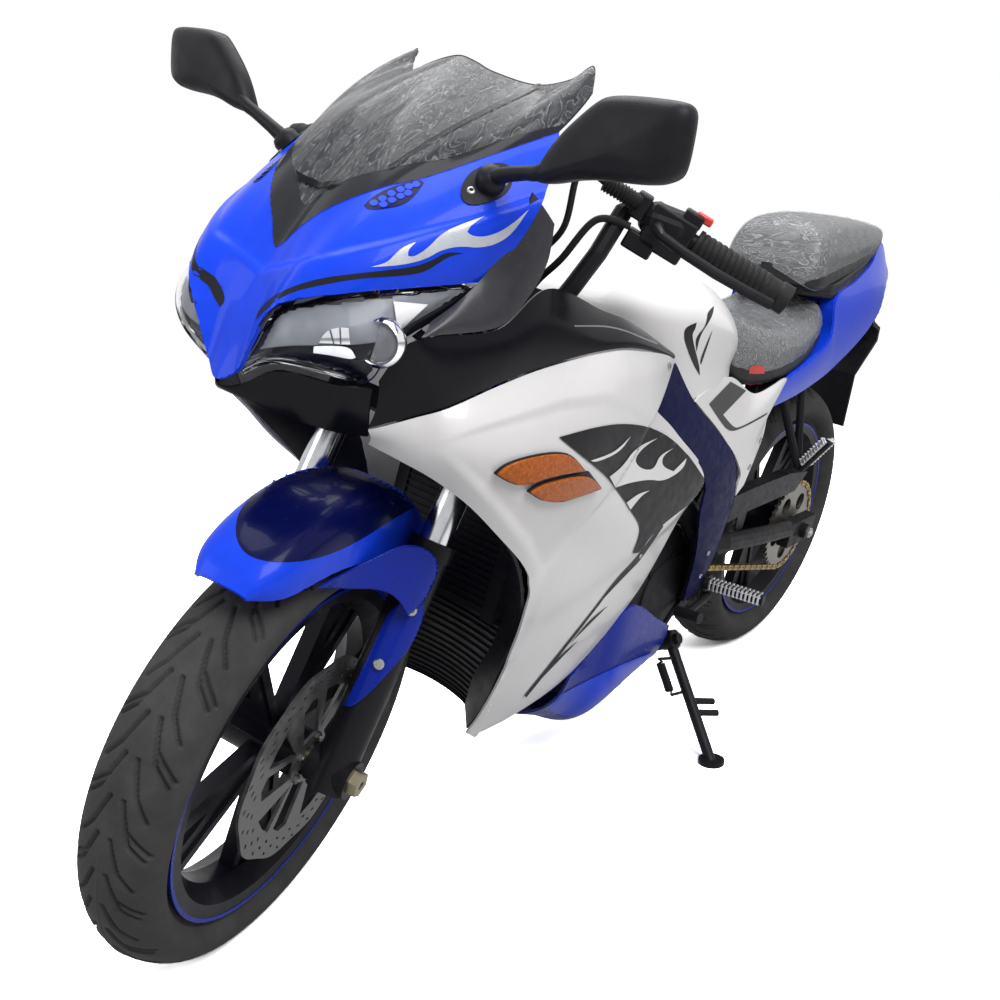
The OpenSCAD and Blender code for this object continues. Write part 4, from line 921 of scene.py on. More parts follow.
def chain_part():
    """All links, rollers and pins."""
    pts = chain_path()
    parts = []
    for i, p in enumerate(pts):
        q = pts[(i + 1) % len(pts)]
        step = 3.4 if i % 2 else 5.4
        parts += [plate(p, q, CHAIN_X + s * step, 1.6, 6.4) for s in (-1, 1)]
        parts += [barrel(p, 7.4, 2.6), barrel(p, 2.6, 4.6)]
    verts, faces = joined(parts)
    verts = np.array(verts)
    c, s = math.cos(SLOPE), math.sin(SLOPE)
    y, z = verts[:, 1] * c - verts[:, 2] * s, verts[:, 1] * s + verts[:, 2] * c
    return np.stack([verts[:, 0], y, z], -1) + SPROCKET_P, faces


put("chain_links", chain_part(), "chain_gold", replaces=["drive_chain"], sharp=30)


# Decals: outlines in photo positions laid onto a panel
def tree_of(part, place=parked):
    """Ray target of a part's faces, in scene metres."""
    return BVHTree.FromPolygons([Vector(v) for v in place(part[0])], part[1])


def grid_tree(grid, place=parked):
    """Ray target of a grid of points."""
    return tree_of((grid.reshape(-1, 3), grid_faces(*grid.shape[:2])), place)


def seen(tree, px, py):
    """Where a photo position meets a surface, and the surface's direction towards the camera."""
    way = ray(px, py)
    hit, normal, _, _ = tree.ray_cast(Vector(EYE), way)
    if hit is not None and normal.dot(way) > 0:
        normal = -normal
    return hit, normal


def mount(tree, px, py, bars=False):
    """The same place and direction in bike millimetres, on the straight bars if asked."""
    hit, normal = seen(tree, px, py)
    axis = R_PARK.T @ np.array(normal)
    return (straight(np.array(hit)), R_TURN.T @ axis) if bars else (upright(np.array(hit)), axis)


def rounded(outline, rounds=2):
    """An outline with its gentle corners cut and its sharp tips kept."""
    pts = [np.array(p, float) for p in outline]
    for _ in range(rounds):
        out = []
        for a, p, b in zip(pts[-1:] + pts[:-1], pts, pts[1:] + pts[:1]):
            u, v = p - a, b - p
            cosine = u @ v / max(1e-9, np.linalg.norm(u) * np.linalg.norm(v))
            out += [p - u * 0.25, p + v * 0.25] if cosine > 0.45 else [p]
        pts = out
    return [tuple(p) for p in pts]


def decal(name, outline, tree, look, rise=0.35, spacing=3.0, both=True, bars=False):
    """A thin film with a photo outline, laid on the panel as the camera sees it and mirrored to the right."""
    outline = [Vector(p) for p in rounded(outline)]
    dense = []
    for a, b in zip(outline, outline[1:] + outline[:1]):
        steps = max(1, int((b - a).length / spacing))
        dense += [a + (b - a) * k / steps for k in range(steps)]
    xs, ys = [p[0] for p in dense], [p[1] for p in dense]
    inside = [Vector((x, y)) for x in np.arange(min(xs), max(xs), spacing)
              for y in np.arange(min(ys), max(ys), spacing)]
    edges = [(k, (k + 1) % len(dense)) for k in range(len(dense))]
    flat = geometry.delaunay_2d_cdt(dense + inside, edges, [], 1, 1e-4)
    found, keep = [], {}
    for k, p in enumerate(flat[0]):
        hit, normal = seen(tree, p[0], p[1])
        if hit is not None:
            keep[k] = len(found)
            found.append(hit + normal * rise / 1000)
    faces = [tuple(keep[k] for k in f) for f in flat[2] if all(k in keep for k in f)]
    verts = np.array(found)
    if both:
        other = turned(straight(verts) * FLIP) if bars else parked(upright(verts) * FLIP)
        verts, faces = joined([(verts, faces), inside_out((other, faces))])
    return piece(name, verts, faces, look, "steering" if bars else "chassis")


def thicken(obj, depth, offset):
    """A wall for a decal, in metres: inwards with offset -1, outwards with 1."""
    wall = obj.modifiers.new("wall", "SOLIDIFY")
    wall.thickness = depth
    wall.offset = offset


def ribbon(line, wide):
    """Outline of a line with a width, in photo positions."""
    line = np.array(line, float)
    d = np.gradient(line, axis=0)
    n = np.stack([-d[:, 1], d[:, 0]], -1) / np.linalg.norm(d, axis=1, keepdims=True) * wide / 2
    return [tuple(p) for p in np.concatenate([line + n, (line - n)[::-1]])]


COWL_TREE, FAIRING_TREE = tree_of(cowl), tree_of(fairing)
decal("cowl_flame", [(371, 267), (387, 263), (397, 252), (405, 246), (416, 242), (408, 250), (408, 256),
      (414, 257), (428, 248), (441, 234), (457, 226), (485, 216), (471, 225), (467, 232), (472, 236),
      (484, 237), (500, 232), (516, 221), (529, 209), (513, 233), (497, 244), (479, 248), (460, 246),
      (441, 250), (428, 258), (412, 263), (393, 266)], COWL_TREE, "silver_decal")
decal("cowl_stripe", [(464, 253), (449, 256), (436, 265), (422, 273), (398, 276), (361, 278), (320, 285),
      (291, 292), (272, 303), (256, 320), (258, 311), (271, 297), (291, 287), (320, 278), (361, 273),
      (398, 269), (417, 266), (433, 260), (446, 252)], COWL_TREE, "dark_decal")
decal("fairing_flame", [(558, 437), (594, 427), (621, 423), (648, 426), (669, 436), (688, 455),
      (706, 482), (696, 498), (675, 514), (661, 525), (648, 538), (640, 552), (632, 553), (638, 538),
      (640, 525), (629, 509), (625, 502), (614, 487), (607, 477), (589, 462)],
      FAIRING_TREE, "dark_decal", 1.6, 1.6)
for number, tongue in enumerate((
        [(589, 460), (613, 452), (629, 436), (618, 452), (594, 462)],
        [(608, 476), (621, 466), (634, 447), (656, 438), (642, 447), (633, 458), (636, 466), (645, 470),
         (653, 468), (658, 455), (672, 448), (662, 455), (660, 463), (664, 468), (672, 471), (685, 458),
         (683, 466), (675, 474), (661, 481), (648, 479), (629, 482), (614, 487)],
        [(625, 502), (637, 493), (648, 490), (640, 495), (629, 509)])):
    decal(f"fairing_tongue_{number}", tongue, FAIRING_TREE, "pearl_white", 2.6, 1.6)
for number, wedge in enumerate((
        [(661, 524), (663, 526), (640, 560), (632, 568), (604, 597), (600, 603), (540, 680), (526, 697),
         (524, 695), (589, 614), (616, 578), (636, 558)],
        [(589, 620), (608, 605), (569, 644)], [(555, 659), (578, 640), (521, 699)])):
    decal(f"fairing_line_{number}", wedge, FAIRING_TREE, "dark_decal", 1.0)

# Turn signals
SIGNALS = (
    [(494.5, 471), (504.7, 462.3), (531, 454.8), (557.6, 451.8), (569, 456.7), (579.5, 468.8),
     (546, 473.7), (521.7, 482.4), (508.4, 479.3)],
    [(526.6, 489.5), (538.7, 481.2), (584, 471.5), (596, 486), (576.4, 492.6), (555.7, 499.4),
     (538.7, 497.5)])
for number, outline in enumerate(SIGNALS):
    loop = np.array(outline)
    middle = loop.mean(0)
    rim = decal(f"signal_frame_{number}", middle + (loop - middle) * (1.05, 1.10), FAIRING_TREE, "dark_decal",
                2.6, 2.0)
    lens = decal(f"signal_lens_{number}", outline, FAIRING_TREE, "amber_lens", 4.6, 2.0)
    thicken(rim, 0.003, -1)
    thicken(lens, 0.0045, -1)
    if number == 0:
        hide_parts("turn_signals")
    decal(f"signal_ridge_{number}", middle + (loop - middle) * 0.62, FAIRING_TREE, "amber_lens", 6.0, 2.0)


# Wrapping film on the seats and the windscreen
FOLDS = 9


def creases(a, b, count, reach, seed):
    """Heights of narrow folds over a surface with coordinates in millimetres."""
    pick = np.random.default_rng(seed)
    total = np.zeros(a.shape)
    for _ in range(count):
        turn = pick.normal(0.25, 0.55)
        wave = pick.uniform(26, 75)
        shift = pick.uniform(0, 6.28, 4)
        bent = a + 9 * np.sin(b / 31 + shift[0]) + 5 * np.sin(b / 13 + shift[1])
        across = (bent * math.cos(turn) + b * math.sin(turn)) / wave * math.pi
        patch = 0.5 + 0.5 * np.sin(a / 47 + shift[2]) * np.sin(b / 59 + shift[3])
        total += (1 - np.abs(np.sin(across + shift[2]))) ** 6 * patch
    return total * reach / math.sqrt(count)


def film_piece(name, grid, look, rise, reach, seed):
    """A thin creased film over a grid of points."""
    n = normals(grid)
    run_u = np.cumsum(np.linalg.norm(np.gradient(grid, axis=0), axis=-1), axis=0)
    run_v = np.cumsum(np.linalg.norm(np.gradient(grid, axis=1), axis=-1), axis=1)
    lift = rise + creases(run_v, run_u, FOLDS, reach, seed)
    verts = (grid + n * lift[..., None]).reshape(-1, 3)
    faces = [tuple(reversed(f)) for f in grid_faces(*grid.shape[:2])]
    return piece(name, parked(verts), faces, look, sharp=80)


def pad_grid(sections, nu, nv):
    """The top and sides of a seat pad as a grid running from the left skirt over to the right."""
    rings = []
    for r in rows_at(sections, np.linspace(0, len(sections) - 1, nu)):
        half = np.array(pad_half(r))[:-1]
        over = np.concatenate([half[:0:-1], half * FLIP[:2]])
        pts = rows_at(over, np.linspace(0, len(over) - 1, nv))
        rings.append(np.stack([pts[:, 0], np.full(nv, r[0]), pts[:, 1]], -1))
    front = rings[0]
    middle = front.mean(0) - np.array([0, 3.0, 0])
    nose = [middle + (front - middle) * f for f in (0.15, 0.4, 0.65, 0.85, 0.95)]
    return np.array(nose + rings)


rider_grid = pad_grid(rider_sections, 130, 130)
film_piece("rider_film", rider_grid, "film", 1.2, 3.2, 3)
film_piece("pillion_film", pad_grid(pillion_sections, 140, 110), "film", 1.2, 3.2, 5)
screen_grid = skin(both_sides(screen_rows), np.linspace(0.1, 11.9, 150), np.linspace(0.16, 0.985, 84))
film_piece("screen_wrap", screen_grid, "screen_film", 0.8, 1.6, 9)
SCREEN_TREE = grid_tree(screen_grid)
for number, (line, wide) in enumerate((
        ([(352, 181), (373, 176), (394, 166), (435, 138), (480, 114), (524, 93), (560, 77)], 2.0),
        ([(318, 187), (345, 184), (391, 173), (440, 161), (490, 148), (535, 135)], 5.0))):
    decal(f"screen_line_{number}", ribbon(line, wide), SCREEN_TREE, "gloss_black", 2.8, 2.0)

# Decals of the tank, the under-seat covers, the seat, the cowl and the belly
TANK_TREE, SIDE_TREE, PAD_TREE = tree_of(tank), tree_of(sides), grid_tree(rider_grid)
for number, shape in enumerate((
        [(684.4, 327.6), (696.5, 322.4), (695.2, 328.8), (692, 333.9), (693.3, 342.9), (695.8, 353),
         (699, 364.5), (699.7, 375.4), (695.2, 368.4), (690, 356.9), (686.3, 346.7), (683.7, 337.8)],
        [(707.3, 312.2), (713.7, 305.9), (713, 313.5), (708.6, 322.4), (701.6, 332.7), (698.4, 341.6),
         (696.5, 351.8), (695.2, 340.3), (698.4, 333.9), (704.1, 327.6), (706.7, 319.9)],
        [(712.4, 330.1), (708, 344.1), (700.9, 364.5), (699.7, 362), (702.9, 351.8), (709.2, 336.5)])):
    decal(f"tank_flame_{number}", shape, TANK_TREE, "dark_decal", 0.5, 1.5)
decal("cover_patch", [(708.8, 403.9), (730.4, 381.5), (746.1, 390.6), (722.9, 414.7), (732.9, 427.1),
      (739.5, 427.9), (767.7, 412.2), (766, 415.5), (737.8, 430.4), (727.9, 431.2), (719.6, 420.5)],
      SIDE_TREE, "grey_decal", 0.5, 1.5)
decal("seat_tape", [(747, 368), (752, 364.5), (763, 366), (762.5, 371), (764, 374), (760.5, 376),
      (761, 384.5), (754, 382.5), (746.5, 385), (748, 378)], PAD_TREE, "red_tape", 4.0, 1.5, both=False)
decal("cowl_vent", [(364, 206), (372, 197), (391, 187), (420, 179.5), (424, 183), (415, 196), (404, 205),
      (386, 209), (368, 210)], COWL_TREE, "blue_dark", 0.5, 2.0)
for number, (cx, cy) in enumerate((
        (374, 203.5), (382.5, 199), (383.5, 205), (391.5, 194), (392, 200.5), (400.5, 190), (400.5, 196.5),
        (409, 187), (408, 193.5), (416, 185))):
    cell = [(cx + 4.0 * math.cos(k * math.pi / 3), cy + 2.9 * math.sin(k * math.pi / 3)) for k in range(7)]
    decal(f"vent_cell_{number}", ribbon(cell, 1.1), COWL_TREE, "blue_paint", 1.2, 2.0)
decal("mirror_pad", [(459, 192), (468, 174), (486, 165), (505, 163), (513, 172), (511, 190), (497, 200),
      (476, 206), (464, 204)], COWL_TREE, "black_plastic", 1.6, 2.0)
BELLY_TREE, MID_TREE = tree_of(belly), tree_of(mid)
decal("belly_flash", [(545, 704), (556, 697), (575, 686), (600, 674), (628, 661), (652, 652), (640, 668),
      (610, 692), (585, 713), (568, 716), (552, 712)], BELLY_TREE, "blue_paint", 1.0, 3.0)
decal("mid_slit", ribbon([(574, 326), (592, 326), (608, 326.5), (626, 331), (642, 338), (657, 344)], 1.6),
      MID_TREE, "lamp_grey", 0.5, 2.0)

# Lamp insides, laid on surfaces behind the lens, and the trim over its edges
lens_grid = skin(flipped(lens_rows), np.linspace(0, 5, 81), np.linspace(0, 1, 41))
BEHIND_TREE, MIRROR_TREE = (grid_tree(lens_grid - normals(lens_grid) * d) for d in (4.5, 7))
inside = lens_grid[2:75, 1:40]
bowl = closed_sheet(inside - normals(inside) * 9, inside - normals(inside) * 12)
pair_piece("lamp_bowls", bowl, "lamp_grey", "headlight_housing", bevel=0)
decal("lamp_mirror", [(250, 352), (282, 307), (320, 296), (371, 288), (441, 281), (486, 281), (440, 312),
      (392, 339), (357, 345), (316, 345), (278, 346)], MIRROR_TREE, "lamp_grey", 0.0, 3.0)
decal("lamp_bezel", [(240, 368), (250, 352), (278, 346), (316, 345), (357, 345), (392, 339), (400, 352),
      (412, 400), (400, 410), (353, 420), (300, 404), (262, 384)], MIRROR_TREE, "gloss_black", 0.5, 3.0)
decal("lamp_strip", ribbon([(278, 359), (296, 360.5), (314, 363.6), (337, 371), (359, 378.7), (368, 378),
      (379, 373), (387.5, 365), (393, 357), (394.6, 351), (391, 342)], 1.9),
      BEHIND_TREE, "chrome", 0.5, 1.5)
decal("lamp_glint", [(393.5, 301.5), (428, 304.5), (398, 332), (396, 320)],
      BEHIND_TREE, "pearl_white", 0.0, 2.0)
for number, facet in enumerate((
        [(319, 343), (323, 335), (329, 330), (333, 343.5)],
        [(334.5, 343.5), (331, 329.3), (339, 327.8), (340, 344)],
        [(341.5, 344), (341, 327.6), (348.5, 328.5), (350, 344)])):
    decal(f"lamp_facet_{number}", facet, BEHIND_TREE, "chrome", 0.6 * number, 1.5)
decal("lamp_small_frame", ribbon([(314.5, 346.5), (313.5, 352), (330, 354), (351, 358.5), (355, 357),
      (350, 347.5), (332, 346), (314.5, 346.5)], 1.1), BEHIND_TREE, "chrome", 0.3, 1.5)
wider = np.concatenate([lens_grid[:, :1] * 2.6 - lens_grid[:, 4:5] * 1.6, lens_grid,
                        lens_grid[:, -1:] * 2.6 - lens_grid[:, -5:-4] * 1.6], 1)
EDGE_TREE = grid_tree(wider + normals(wider) * 1.5)
decal("lens_trim_low", ribbon([(388, 343), (400, 335), (420, 323), (446, 308), (470, 294), (489, 281)],
      9), EDGE_TREE, "gloss_black", 0.8, 2.0)
decal("lens_trim_top", ribbon([(262, 327), (271, 314), (282, 304), (300, 297), (330, 291.5), (371, 286.5),
      (410, 283), (441, 280.5), (486, 279)], 4), EDGE_TREE, "gloss_black", 3.0, 2.0)
lamp_centre = mount(MIRROR_TREE, 376, 343)[0] + np.array([0, 6, 0])
lamp_axis = np.array([0.42, -0.90, 0.05])
projector = turned_shape([(26, -8), (26, 4), (22, 8), (20, 6), (20, 2)], lamp_centre, lamp_axis)
put("projector_ring", pair(projector), "chrome", sharp=50)
dome = [(20, 1)] + [(20 * math.cos(a), 1 + 6 * math.sin(a)) for a in np.linspace(0.1, 1.5, 9)]
put("projector_glass", pair(turned_shape(dome, lamp_centre, lamp_axis)), "lamp_grey", sharp=60)

# Mirror shells, glasses and stalks, each head set as high as the photo shows it
MIRROR_LINE = rounded([(224, 1016), (245, 1055), (283, 1091), (302, 1103), (377, 1104), (388, 1099),
                       (391, 1088), (391, 1045), (383, 1036), (360, 1028), (289, 1026), (240, 1012)], 3)
SHELL = ((0.93, -589), (0.97, -586.5), (1.0, -588), (1.01, -594), (1.0, -601), (0.96, -606.5), (0.87, -611),
         (0.7, -615), (0.45, -617.5), (0.2, -618.5), (0.03, -618.8))
GLASS = ((0.935, -587.8), (0.935, -591))
MIRROR_HEART = np.array([326.0, 1054.0])
RIGHT_HEAD_RISE = 19.0
MIRROR_FOOT, FOOT_AXIS = mount(COWL_TREE, 490, 183)


def mirror_rings(profile, raised, n=96):
    """Rings of the mirror's outline, each a share of its size at a depth."""
    loop = np.array(MIRROR_LINE + MIRROR_LINE[:1])
    run = np.concatenate([[0], np.cumsum(np.linalg.norm(np.diff(loop, axis=0), axis=1))])
    t = np.linspace(0, run[-1], n, endpoint=False)
    ring = np.stack([np.interp(t, run, loop[:, k]) for k in (0, 1)], -1)
    grid = []
    for share, y in profile:
        p = MIRROR_HEART + (ring - MIRROR_HEART) * share
        grid.append(np.stack([p[:, 0], np.full(n, y), p[:, 1] + raised], -1))
    return inside_out(capped(np.array(grid)))


shells, glasses = [], []
for raised, sided in ((0.0, lambda part: part), (RIGHT_HEAD_RISE, mirrored)):
    neck = np.array([0, 0, raised])
    knob = MIRROR_FOOT + FOOT_AXIS * 12
    root = np.array([236.0, -603, 1024]) + neck
    stalk = hose([knob - FOOT_AXIS * 6, knob * 0.7 + root * 0.3, knob * 0.3 + root * 0.7, root,
                  np.array([272, -600, 1046]) + neck], [10, 8, 7.5, 8, 9])
    boss = turned_shape([(16, -3), (16, 9), (13, 15), (6, 18)], MIRROR_FOOT, FOOT_AXIS, 32)
    shells.append(sided(joined([mirror_rings(SHELL, raised), stalk, boss])))
    glasses.append(sided(mirror_rings(GLASS, raised)))
put("mirror_shells", joined(shells), "black_plastic", replaces=("mirrors",), sharp=60)
put("mirror_glasses", joined(glasses), "chrome", bevel=0.6)

# Domed socket screws on the panels where the photo shows them
COVER_TREE = tree_of(covers)
bolts = []
for px, py, tree, radius in ((669, 366, FAIRING_TREE, 6), (471, 191, COWL_TREE, 5),
                             (503, 183, COWL_TREE, 5), (708, 553, COVER_TREE, 5),
                             (700, 576, COVER_TREE, 5), (640, 556, FAIRING_TREE, 4),
                             (760, 440, SIDE_TREE, 6), (749, 467, SIDE_TREE, 6)):
    profile = [(radius, -0.5), (radius, 1.2), (radius * 0.8, 2.2), (radius * 0.45, 2.4), (radius * 0.4, 1.0)]
    bolts.append(pair(turned_shape(profile, *mount(tree, px, py), 24)))
put("panel_bolts", joined(bolts), "bolt_steel", sharp=40)

# Fender legs beside the fork, their bolts, the skirts above them, legs and skirts darker as painted shade, and
# a painted shadow on the fender's crown
FORK = FRONT + np.array([98.0, 0, 0])
FENDER_WALL = 0.0025
LEG_TREE = tree_of(turned_shape([(31.5, 60), (31.5, 340)], FORK, STEER_DIR, 72), turned)
along_fork, ahead = np.meshgrid(np.linspace(150, 420, 55), np.linspace(-30, 190, 45), indexing="ij")
skirt_grid = FRONT + along_fork[..., None] * STEER_DIR + ahead[..., None] * STEER_OUT
skirt_grid[..., 0] = 129.5 - 66 * smooth(ahead, 14, 150)
SKIRT_TREE = grid_tree(skirt_grid, turned)
# The legs and skirts take blue_deep, a darker copy of the fender's blue paint, as painted shade
legs = decal("fender_legs", [(392, 604), (379, 632), (362, 668), (343, 706), (352, 707), (369, 694),
              (395, 666), (412, 646), (424, 618), (424, 600)], LEG_TREE, "blue_deep", 0.0, 2.5, bars=True)
skirts = decal("fender_skirts", [(318, 588), (350, 589), (380, 589), (398, 598), (408, 616), (424, 602),
                (434, 584), (440, 566), (432, 552), (416, 545), (400, 546), (380, 555), (345, 573)],
                SKIRT_TREE, "blue_deep", 0.0, 3.0, bars=True)
thicken(legs, FENDER_WALL, 1)
thicken(skirts, FENDER_WALL, 1)
leg_bolts = []
for px, py in ((411, 610), (379, 664)):
    place, axis = mount(LEG_TREE, px, py, bars=True)
    leg_bolts.append(pair(turned_shape([(7, 1), (7, 4), (5.5, 5.5), (3.2, 5.6), (3, 4)], place, axis, 20)))
put("leg_bolts", joined(leg_bolts), "bolt_steel", "steering", turned, sharp=40)
FENDER_TREE = tree_of(fender, turned)
# A painted shadow: a dark blue patch laid on the top of the fender
decal("fender_painted_shadow", [(235, 533), (238, 513), (252, 495), (273, 480), (302, 468.5), (334, 465),
      (364, 471), (395, 484.5), (426, 500), (410, 509), (386, 523), (362, 539), (334, 553), (306, 561),
      (276, 563), (252, 558), (240, 548)], FENDER_TREE, "blue_dark", 0.5, 3.0, both=False, bars=True)

# Left and right bar gear, drawn on the straight bars
BAR_P = np.array([247.0, -340, 990])
GRIP_END = np.array([372.0, -309, 956])
GRIP_DIR = (GRIP_END - BAR_P) / np.linalg.norm(GRIP_END - BAR_P)
BAR_UP = np.array([0.0, 0, 1]) - GRIP_DIR * GRIP_DIR[2]
BAR_UP /= np.linalg.norm(BAR_UP)
BAR_FORE = np.cross(BAR_UP, GRIP_DIR)


def bar_point(s, up=0.0, fore=0.0):
    """A place along the bar, above it and ahead of it."""
    return BAR_P + GRIP_DIR * s + BAR_UP * up - BAR_FORE * fore


def block(centre, half, axes):
    """A box with its own axes."""
    signs = np.array([(x, y, z) for x in (-1, 1) for y in (-1, 1) for z in (-1, 1)], float)
    verts = centre + (signs * half) @ np.array(axes)
    faces = [(0, 1, 3, 2), (4, 6, 7, 5), (0, 4, 5, 1), (2, 3, 7, 6), (0, 2, 6, 4), (1, 5, 7, 3)]
    return verts, faces


BAR_AXES = [GRIP_DIR, BAR_UP, BAR_FORE]
BLOCKS = (((-36, -6), (30, 27, 19)), ((-60, -34, 4), (20, 12, 15)), ((-18, 24), (13, 9, 14)),
          ((-82, 6, 6), (10, 16, 16)))
switch = joined([block(bar_point(*spot), half, BAR_AXES) for spot, half in BLOCKS])
put("switch_blocks", pair(switch), "black_plastic", "steering", turned, bevel=3.0)
button = block(bar_point(-6, 31), (11, 5, 9), BAR_AXES)
put("switch_button", button, "red_tape", "steering", turned, bevel=2.0)
folds = [9 + 2.2 * (k % 2) for k in range(25)]
boot = hose([bar_point(-86, 8, 22), bar_point(-108, 10, 30), bar_point(-134, 10, 34)], folds, steps=24)
cable = hose([bar_point(-128, 10, 34), bar_point(-166, 6, 40), [98, -408, 968], [62, -392, 910],
              [48, -405, 838]], 4.2)
brake = hose([bar_point(-80, -20, 20), bar_point(-120, -34, 26), [104, -402, 930], [76, -394, 888],
              [66, -413, 842]], 4.6)
put("cables", joined([boot, pair(joined([cable, brake]))]), "grip_rubber", "steering", turned, sharp=60)

# Footpeg ribs
ribs = []
for start, end, count, wide, high_by in (((152, 208, 322.5), (252, 221.5, 326.8), 13, 11.5, 9.5),
                                         ((140, 570, 498), (186, 546, 566), 9, 16.0, 7.0)):
    start, end = np.array(start, float), np.array(end, float)
    long = np.linalg.norm(end - start)
    d = (end - start) / long
    up = np.array([0, 0, 1.0]) - d * d[2]
    up /= np.linalg.norm(up)
    axes = [d, up, np.cross(d, up)]
    for k in range(count):
        rib = block(start + (end - start) * (k + 0.5) / count + up * 2, (2.0, high_by, wide), axes)
        ribs.append(pair(rib))
    ribs.append(pair(block((start + end) / 2, (long / 2, high_by * 0.75, wide * 0.8), axes)))
put("peg_ribs", joined(ribs), "peg_alloy", bevel=0.6)

# Rear axle nuts
AXLE_END = 138.0
NUT = [(13, -1), (13, 5), (11, 6.5), (8, 6.5), (8, 9), (5, 10)]
nuts = [turned_shape(NUT, REAR + np.array([AXLE_END * sign, 0, 0]), (sign, 0, 0), 6) for sign in (1, -1)]
put("rear_axle_nuts", joined(nuts), "bolt_steel", bevel=0.8)

# Stand spring between two pins, in a plane beside the stand's leg
STAND_P = np.array([128.0, 146, 214])
FOOT_P = np.array([288.0, 82, 58.25])
STAND_OUT = np.array([math.cos(math.radians(31)), 0, math.sin(math.radians(31))])
COILS = 14
LEG_DIR = (FOOT_P - STAND_P) / np.linalg.norm(FOOT_P - STAND_P)
eye = upright(EYE)
hooks = []
for px, py in ((671, 695), (659, 659)):
    way = R_PARK.T @ np.array(ray(px, py))
    hooks.append(eye + way * ((STAND_P - eye) @ STAND_OUT + 4) / (way @ STAND_OUT))
low, high = hooks
across = np.cross((high - low) / np.linalg.norm(high - low), STAND_OUT)
coil = []
for k in np.linspace(0, 1, COILS * 10 + 1):
    angle = k * 2 * COILS * math.pi
    coil.append(low + (high - low) * (0.12 + 0.76 * k)
                + 6.5 * (math.cos(angle) * across + math.sin(angle) * STAND_OUT))
pins = [hose([p, STAND_P + LEG_DIR * max(4.0, (p - STAND_P) @ LEG_DIR)], 3.0, n=10, steps=2) for p in hooks]
wire = hose([low] + coil + [high], 1.9, n=8, steps=1)
put("stand_spring", joined([wire] + pins), "frame_black", "side_stand", sharp=60)


# Engine cover with its screws, and the air box between engine and tank
def side_plate(outline, x, thick):
    """A plate with a side-view outline."""
    return plate_of([[(-z, y) for y, z in outline]], x, thick)


def shrunk(outline, share_y, share_z):
    """A side-view outline drawn in towards the engine cover's middle."""
    return [(COVER_Y + (y - COVER_Y) * share_y, COVER_Z + (z - COVER_Z) * share_z) for y, z in outline]


PLATE = rounded([(20, 256), (28, 350), (91, 392), (193, 389), (266, 360), (268, 262), (200, 240),
                 (110, 236)])
COVER_X, COVER_Y, COVER_Z = 101.0, 145, 315
SCREW = [(6, 0), (6, 3), (4.5, 4.5), (2.5, 4.5), (2.5, 2.5)]
step = side_plate(shrunk(PLATE, 0.86, 0.84), COVER_X + 5, 6.0)
put("engine_cover", joined([side_plate(PLATE, COVER_X, 8.0), step]), "engine_dark", bevel=2.0)
screws = [turned_shape(SCREW, (COVER_X + 4, y, z), (1, 0, 0), 18) for y, z in shrunk(PLATE, 0.92, 0.91)[::4]]
put("cover_screws", joined(screws), "frame_black", sharp=40)
AIRBOX = [(-150, 550), (150, 550), (175, 600), (345, 610), (345, 715), (225, 735), (182, 760), (165, 730),
          (60, 700), (-150, 700)]
put("airbox", side_plate(AIRBOX, 0.0, 90.0), "black_plastic", bevel=2.0)


# Stage: floor, lamps, world and camera
def background_rays(tree, path):
    """One for the rays that show the background: seen directly, in a reflection or through glass."""
    either, every = add_node(tree, "Math"), add_node(tree, "Math")
    either.operation = every.operation = "MAXIMUM"
    link(tree, (path, "Is Camera Ray", either, 0), (path, "Is Transmission Ray", either, 1),
         (either, "Value", every, 0), (path, "Is Glossy Ray", every, 1))
    return every


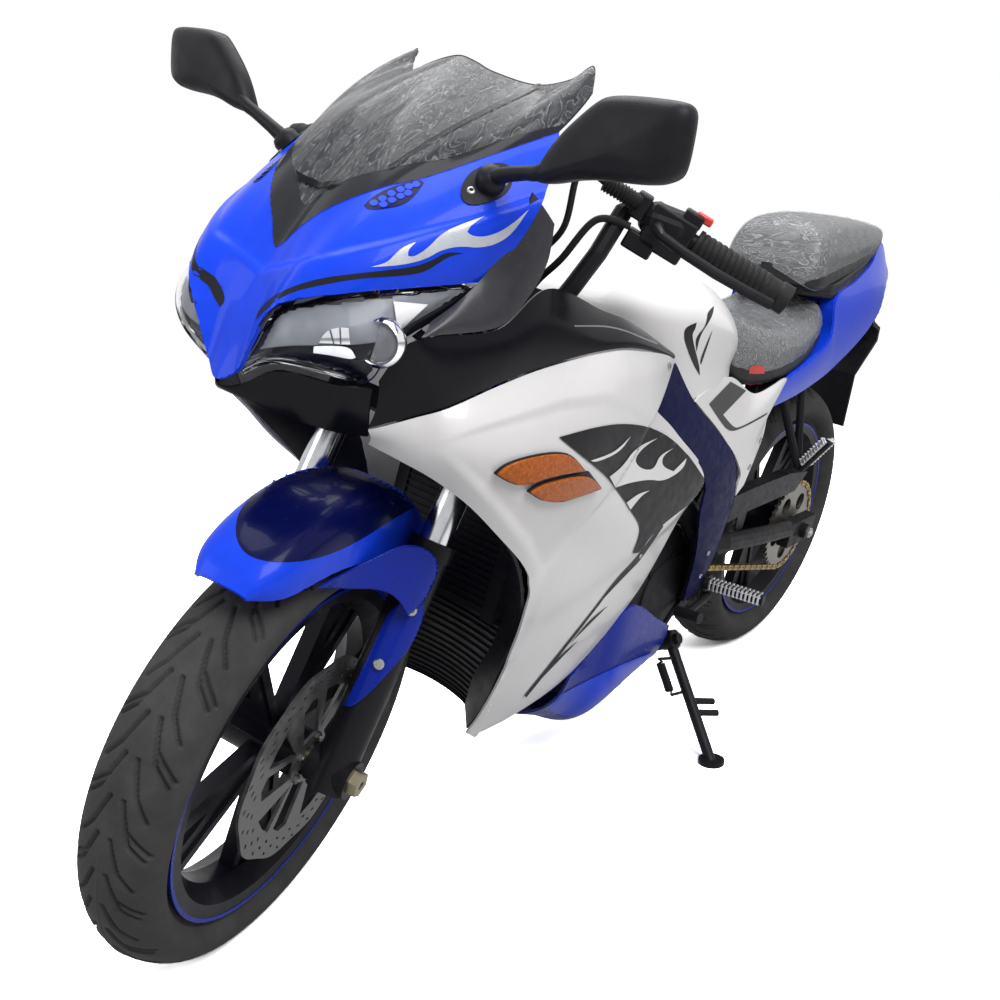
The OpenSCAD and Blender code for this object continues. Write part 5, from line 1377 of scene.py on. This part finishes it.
floor_mesh = bpy.data.meshes.new("floor")
floor_mesh.from_pydata([(-30, -30, 0), (30, -30, 0), (30, 30, 0), (-30, 30, 0)], [], [(0, 1, 2, 3)])
floor = bpy.data.objects.new("floor", floor_mesh)
bpy.context.scene.collection.objects.link(floor)
floor_mat = bpy.data.materials.new("floor")
floor_mat.use_nodes = True
tree = floor_mat.node_tree
tree.nodes.remove(tree.nodes["Principled BSDF"])
path = add_node(tree, "LightPath")
bright, plain, lit = (add_node(tree, "BsdfDiffuse", Color=(level,) * 3 + (1,)) for level in (3.6, 1, 0.38))
indirect, choice = add_node(tree, "MixShader"), add_node(tree, "MixShader")
link(tree, (background_rays(tree, path), "Value", indirect, "Fac"), (lit, "BSDF", indirect, 1),
     (plain, "BSDF", indirect, 2), (path, "Is Camera Ray", choice, "Fac"), (indirect, "Shader", choice, 1),
     (bright, "BSDF", choice, 2), (choice, "Shader", tree.nodes["Material Output"], "Surface"))
floor_mesh.materials.append(floor_mat)

world = bpy.data.worlds.new("studio")
bpy.context.scene.world = world
world.use_nodes = True
tree = world.node_tree
path = add_node(tree, "LightPath")
dim = set_inputs(tree.nodes["Background"], Color=(1, 1, 1, 1), Strength=0.29)
white = add_node(tree, "Background", Color=(1, 1, 1, 1), Strength=1.0)
choice = add_node(tree, "MixShader")
link(tree, (background_rays(tree, path), "Value", choice, "Fac"), (dim, "Background", choice, 1),
     (white, "Background", choice, 2), (choice, "Shader", tree.nodes["World Output"], "Surface"))


def lamp(name, place, target, size, power):
    """A soft area lamp."""
    data = bpy.data.lights.new(name, "AREA")
    data.shape = "RECTANGLE"
    data.size, data.size_y = size
    data.energy = power
    obj = bpy.data.objects.new(name, data)
    obj.location = place
    obj.rotation_euler = (Vector(target) - Vector(place)).to_track_quat("-Z", "Y").to_euler()
    bpy.context.scene.collection.objects.link(obj)


lamp("key", (2.4, -1.2, 3.0), (0, 0, 0.5), (2.2, 1.8), 105)
lamp("front_fill", (-1.2, -3.2, 2.0), (0, -0.3, 0.6), (1.6, 1.6), 22)
lamp("top", (-0.3, 0.3, 3.4), (0, 0, 0.5), (2.6, 2.6), 80)

SENSOR = 36
optics = bpy.data.cameras.new("photo_view")
optics.sensor_width = SENSOR
optics.lens = SENSOR * FOCAL
camera = bpy.data.objects.new("photo_view", optics)
placed = Matrix.Identity(4)
for row in range(3):
    for col in range(3):
        placed[row][col] = AXES[col][row]
    placed[row][3] = EYE[row]
camera.matrix_world = placed
bpy.context.scene.collection.objects.link(camera)
bpy.context.scene.camera = camera
bpy.context.scene.view_settings.view_transform = "Standard"
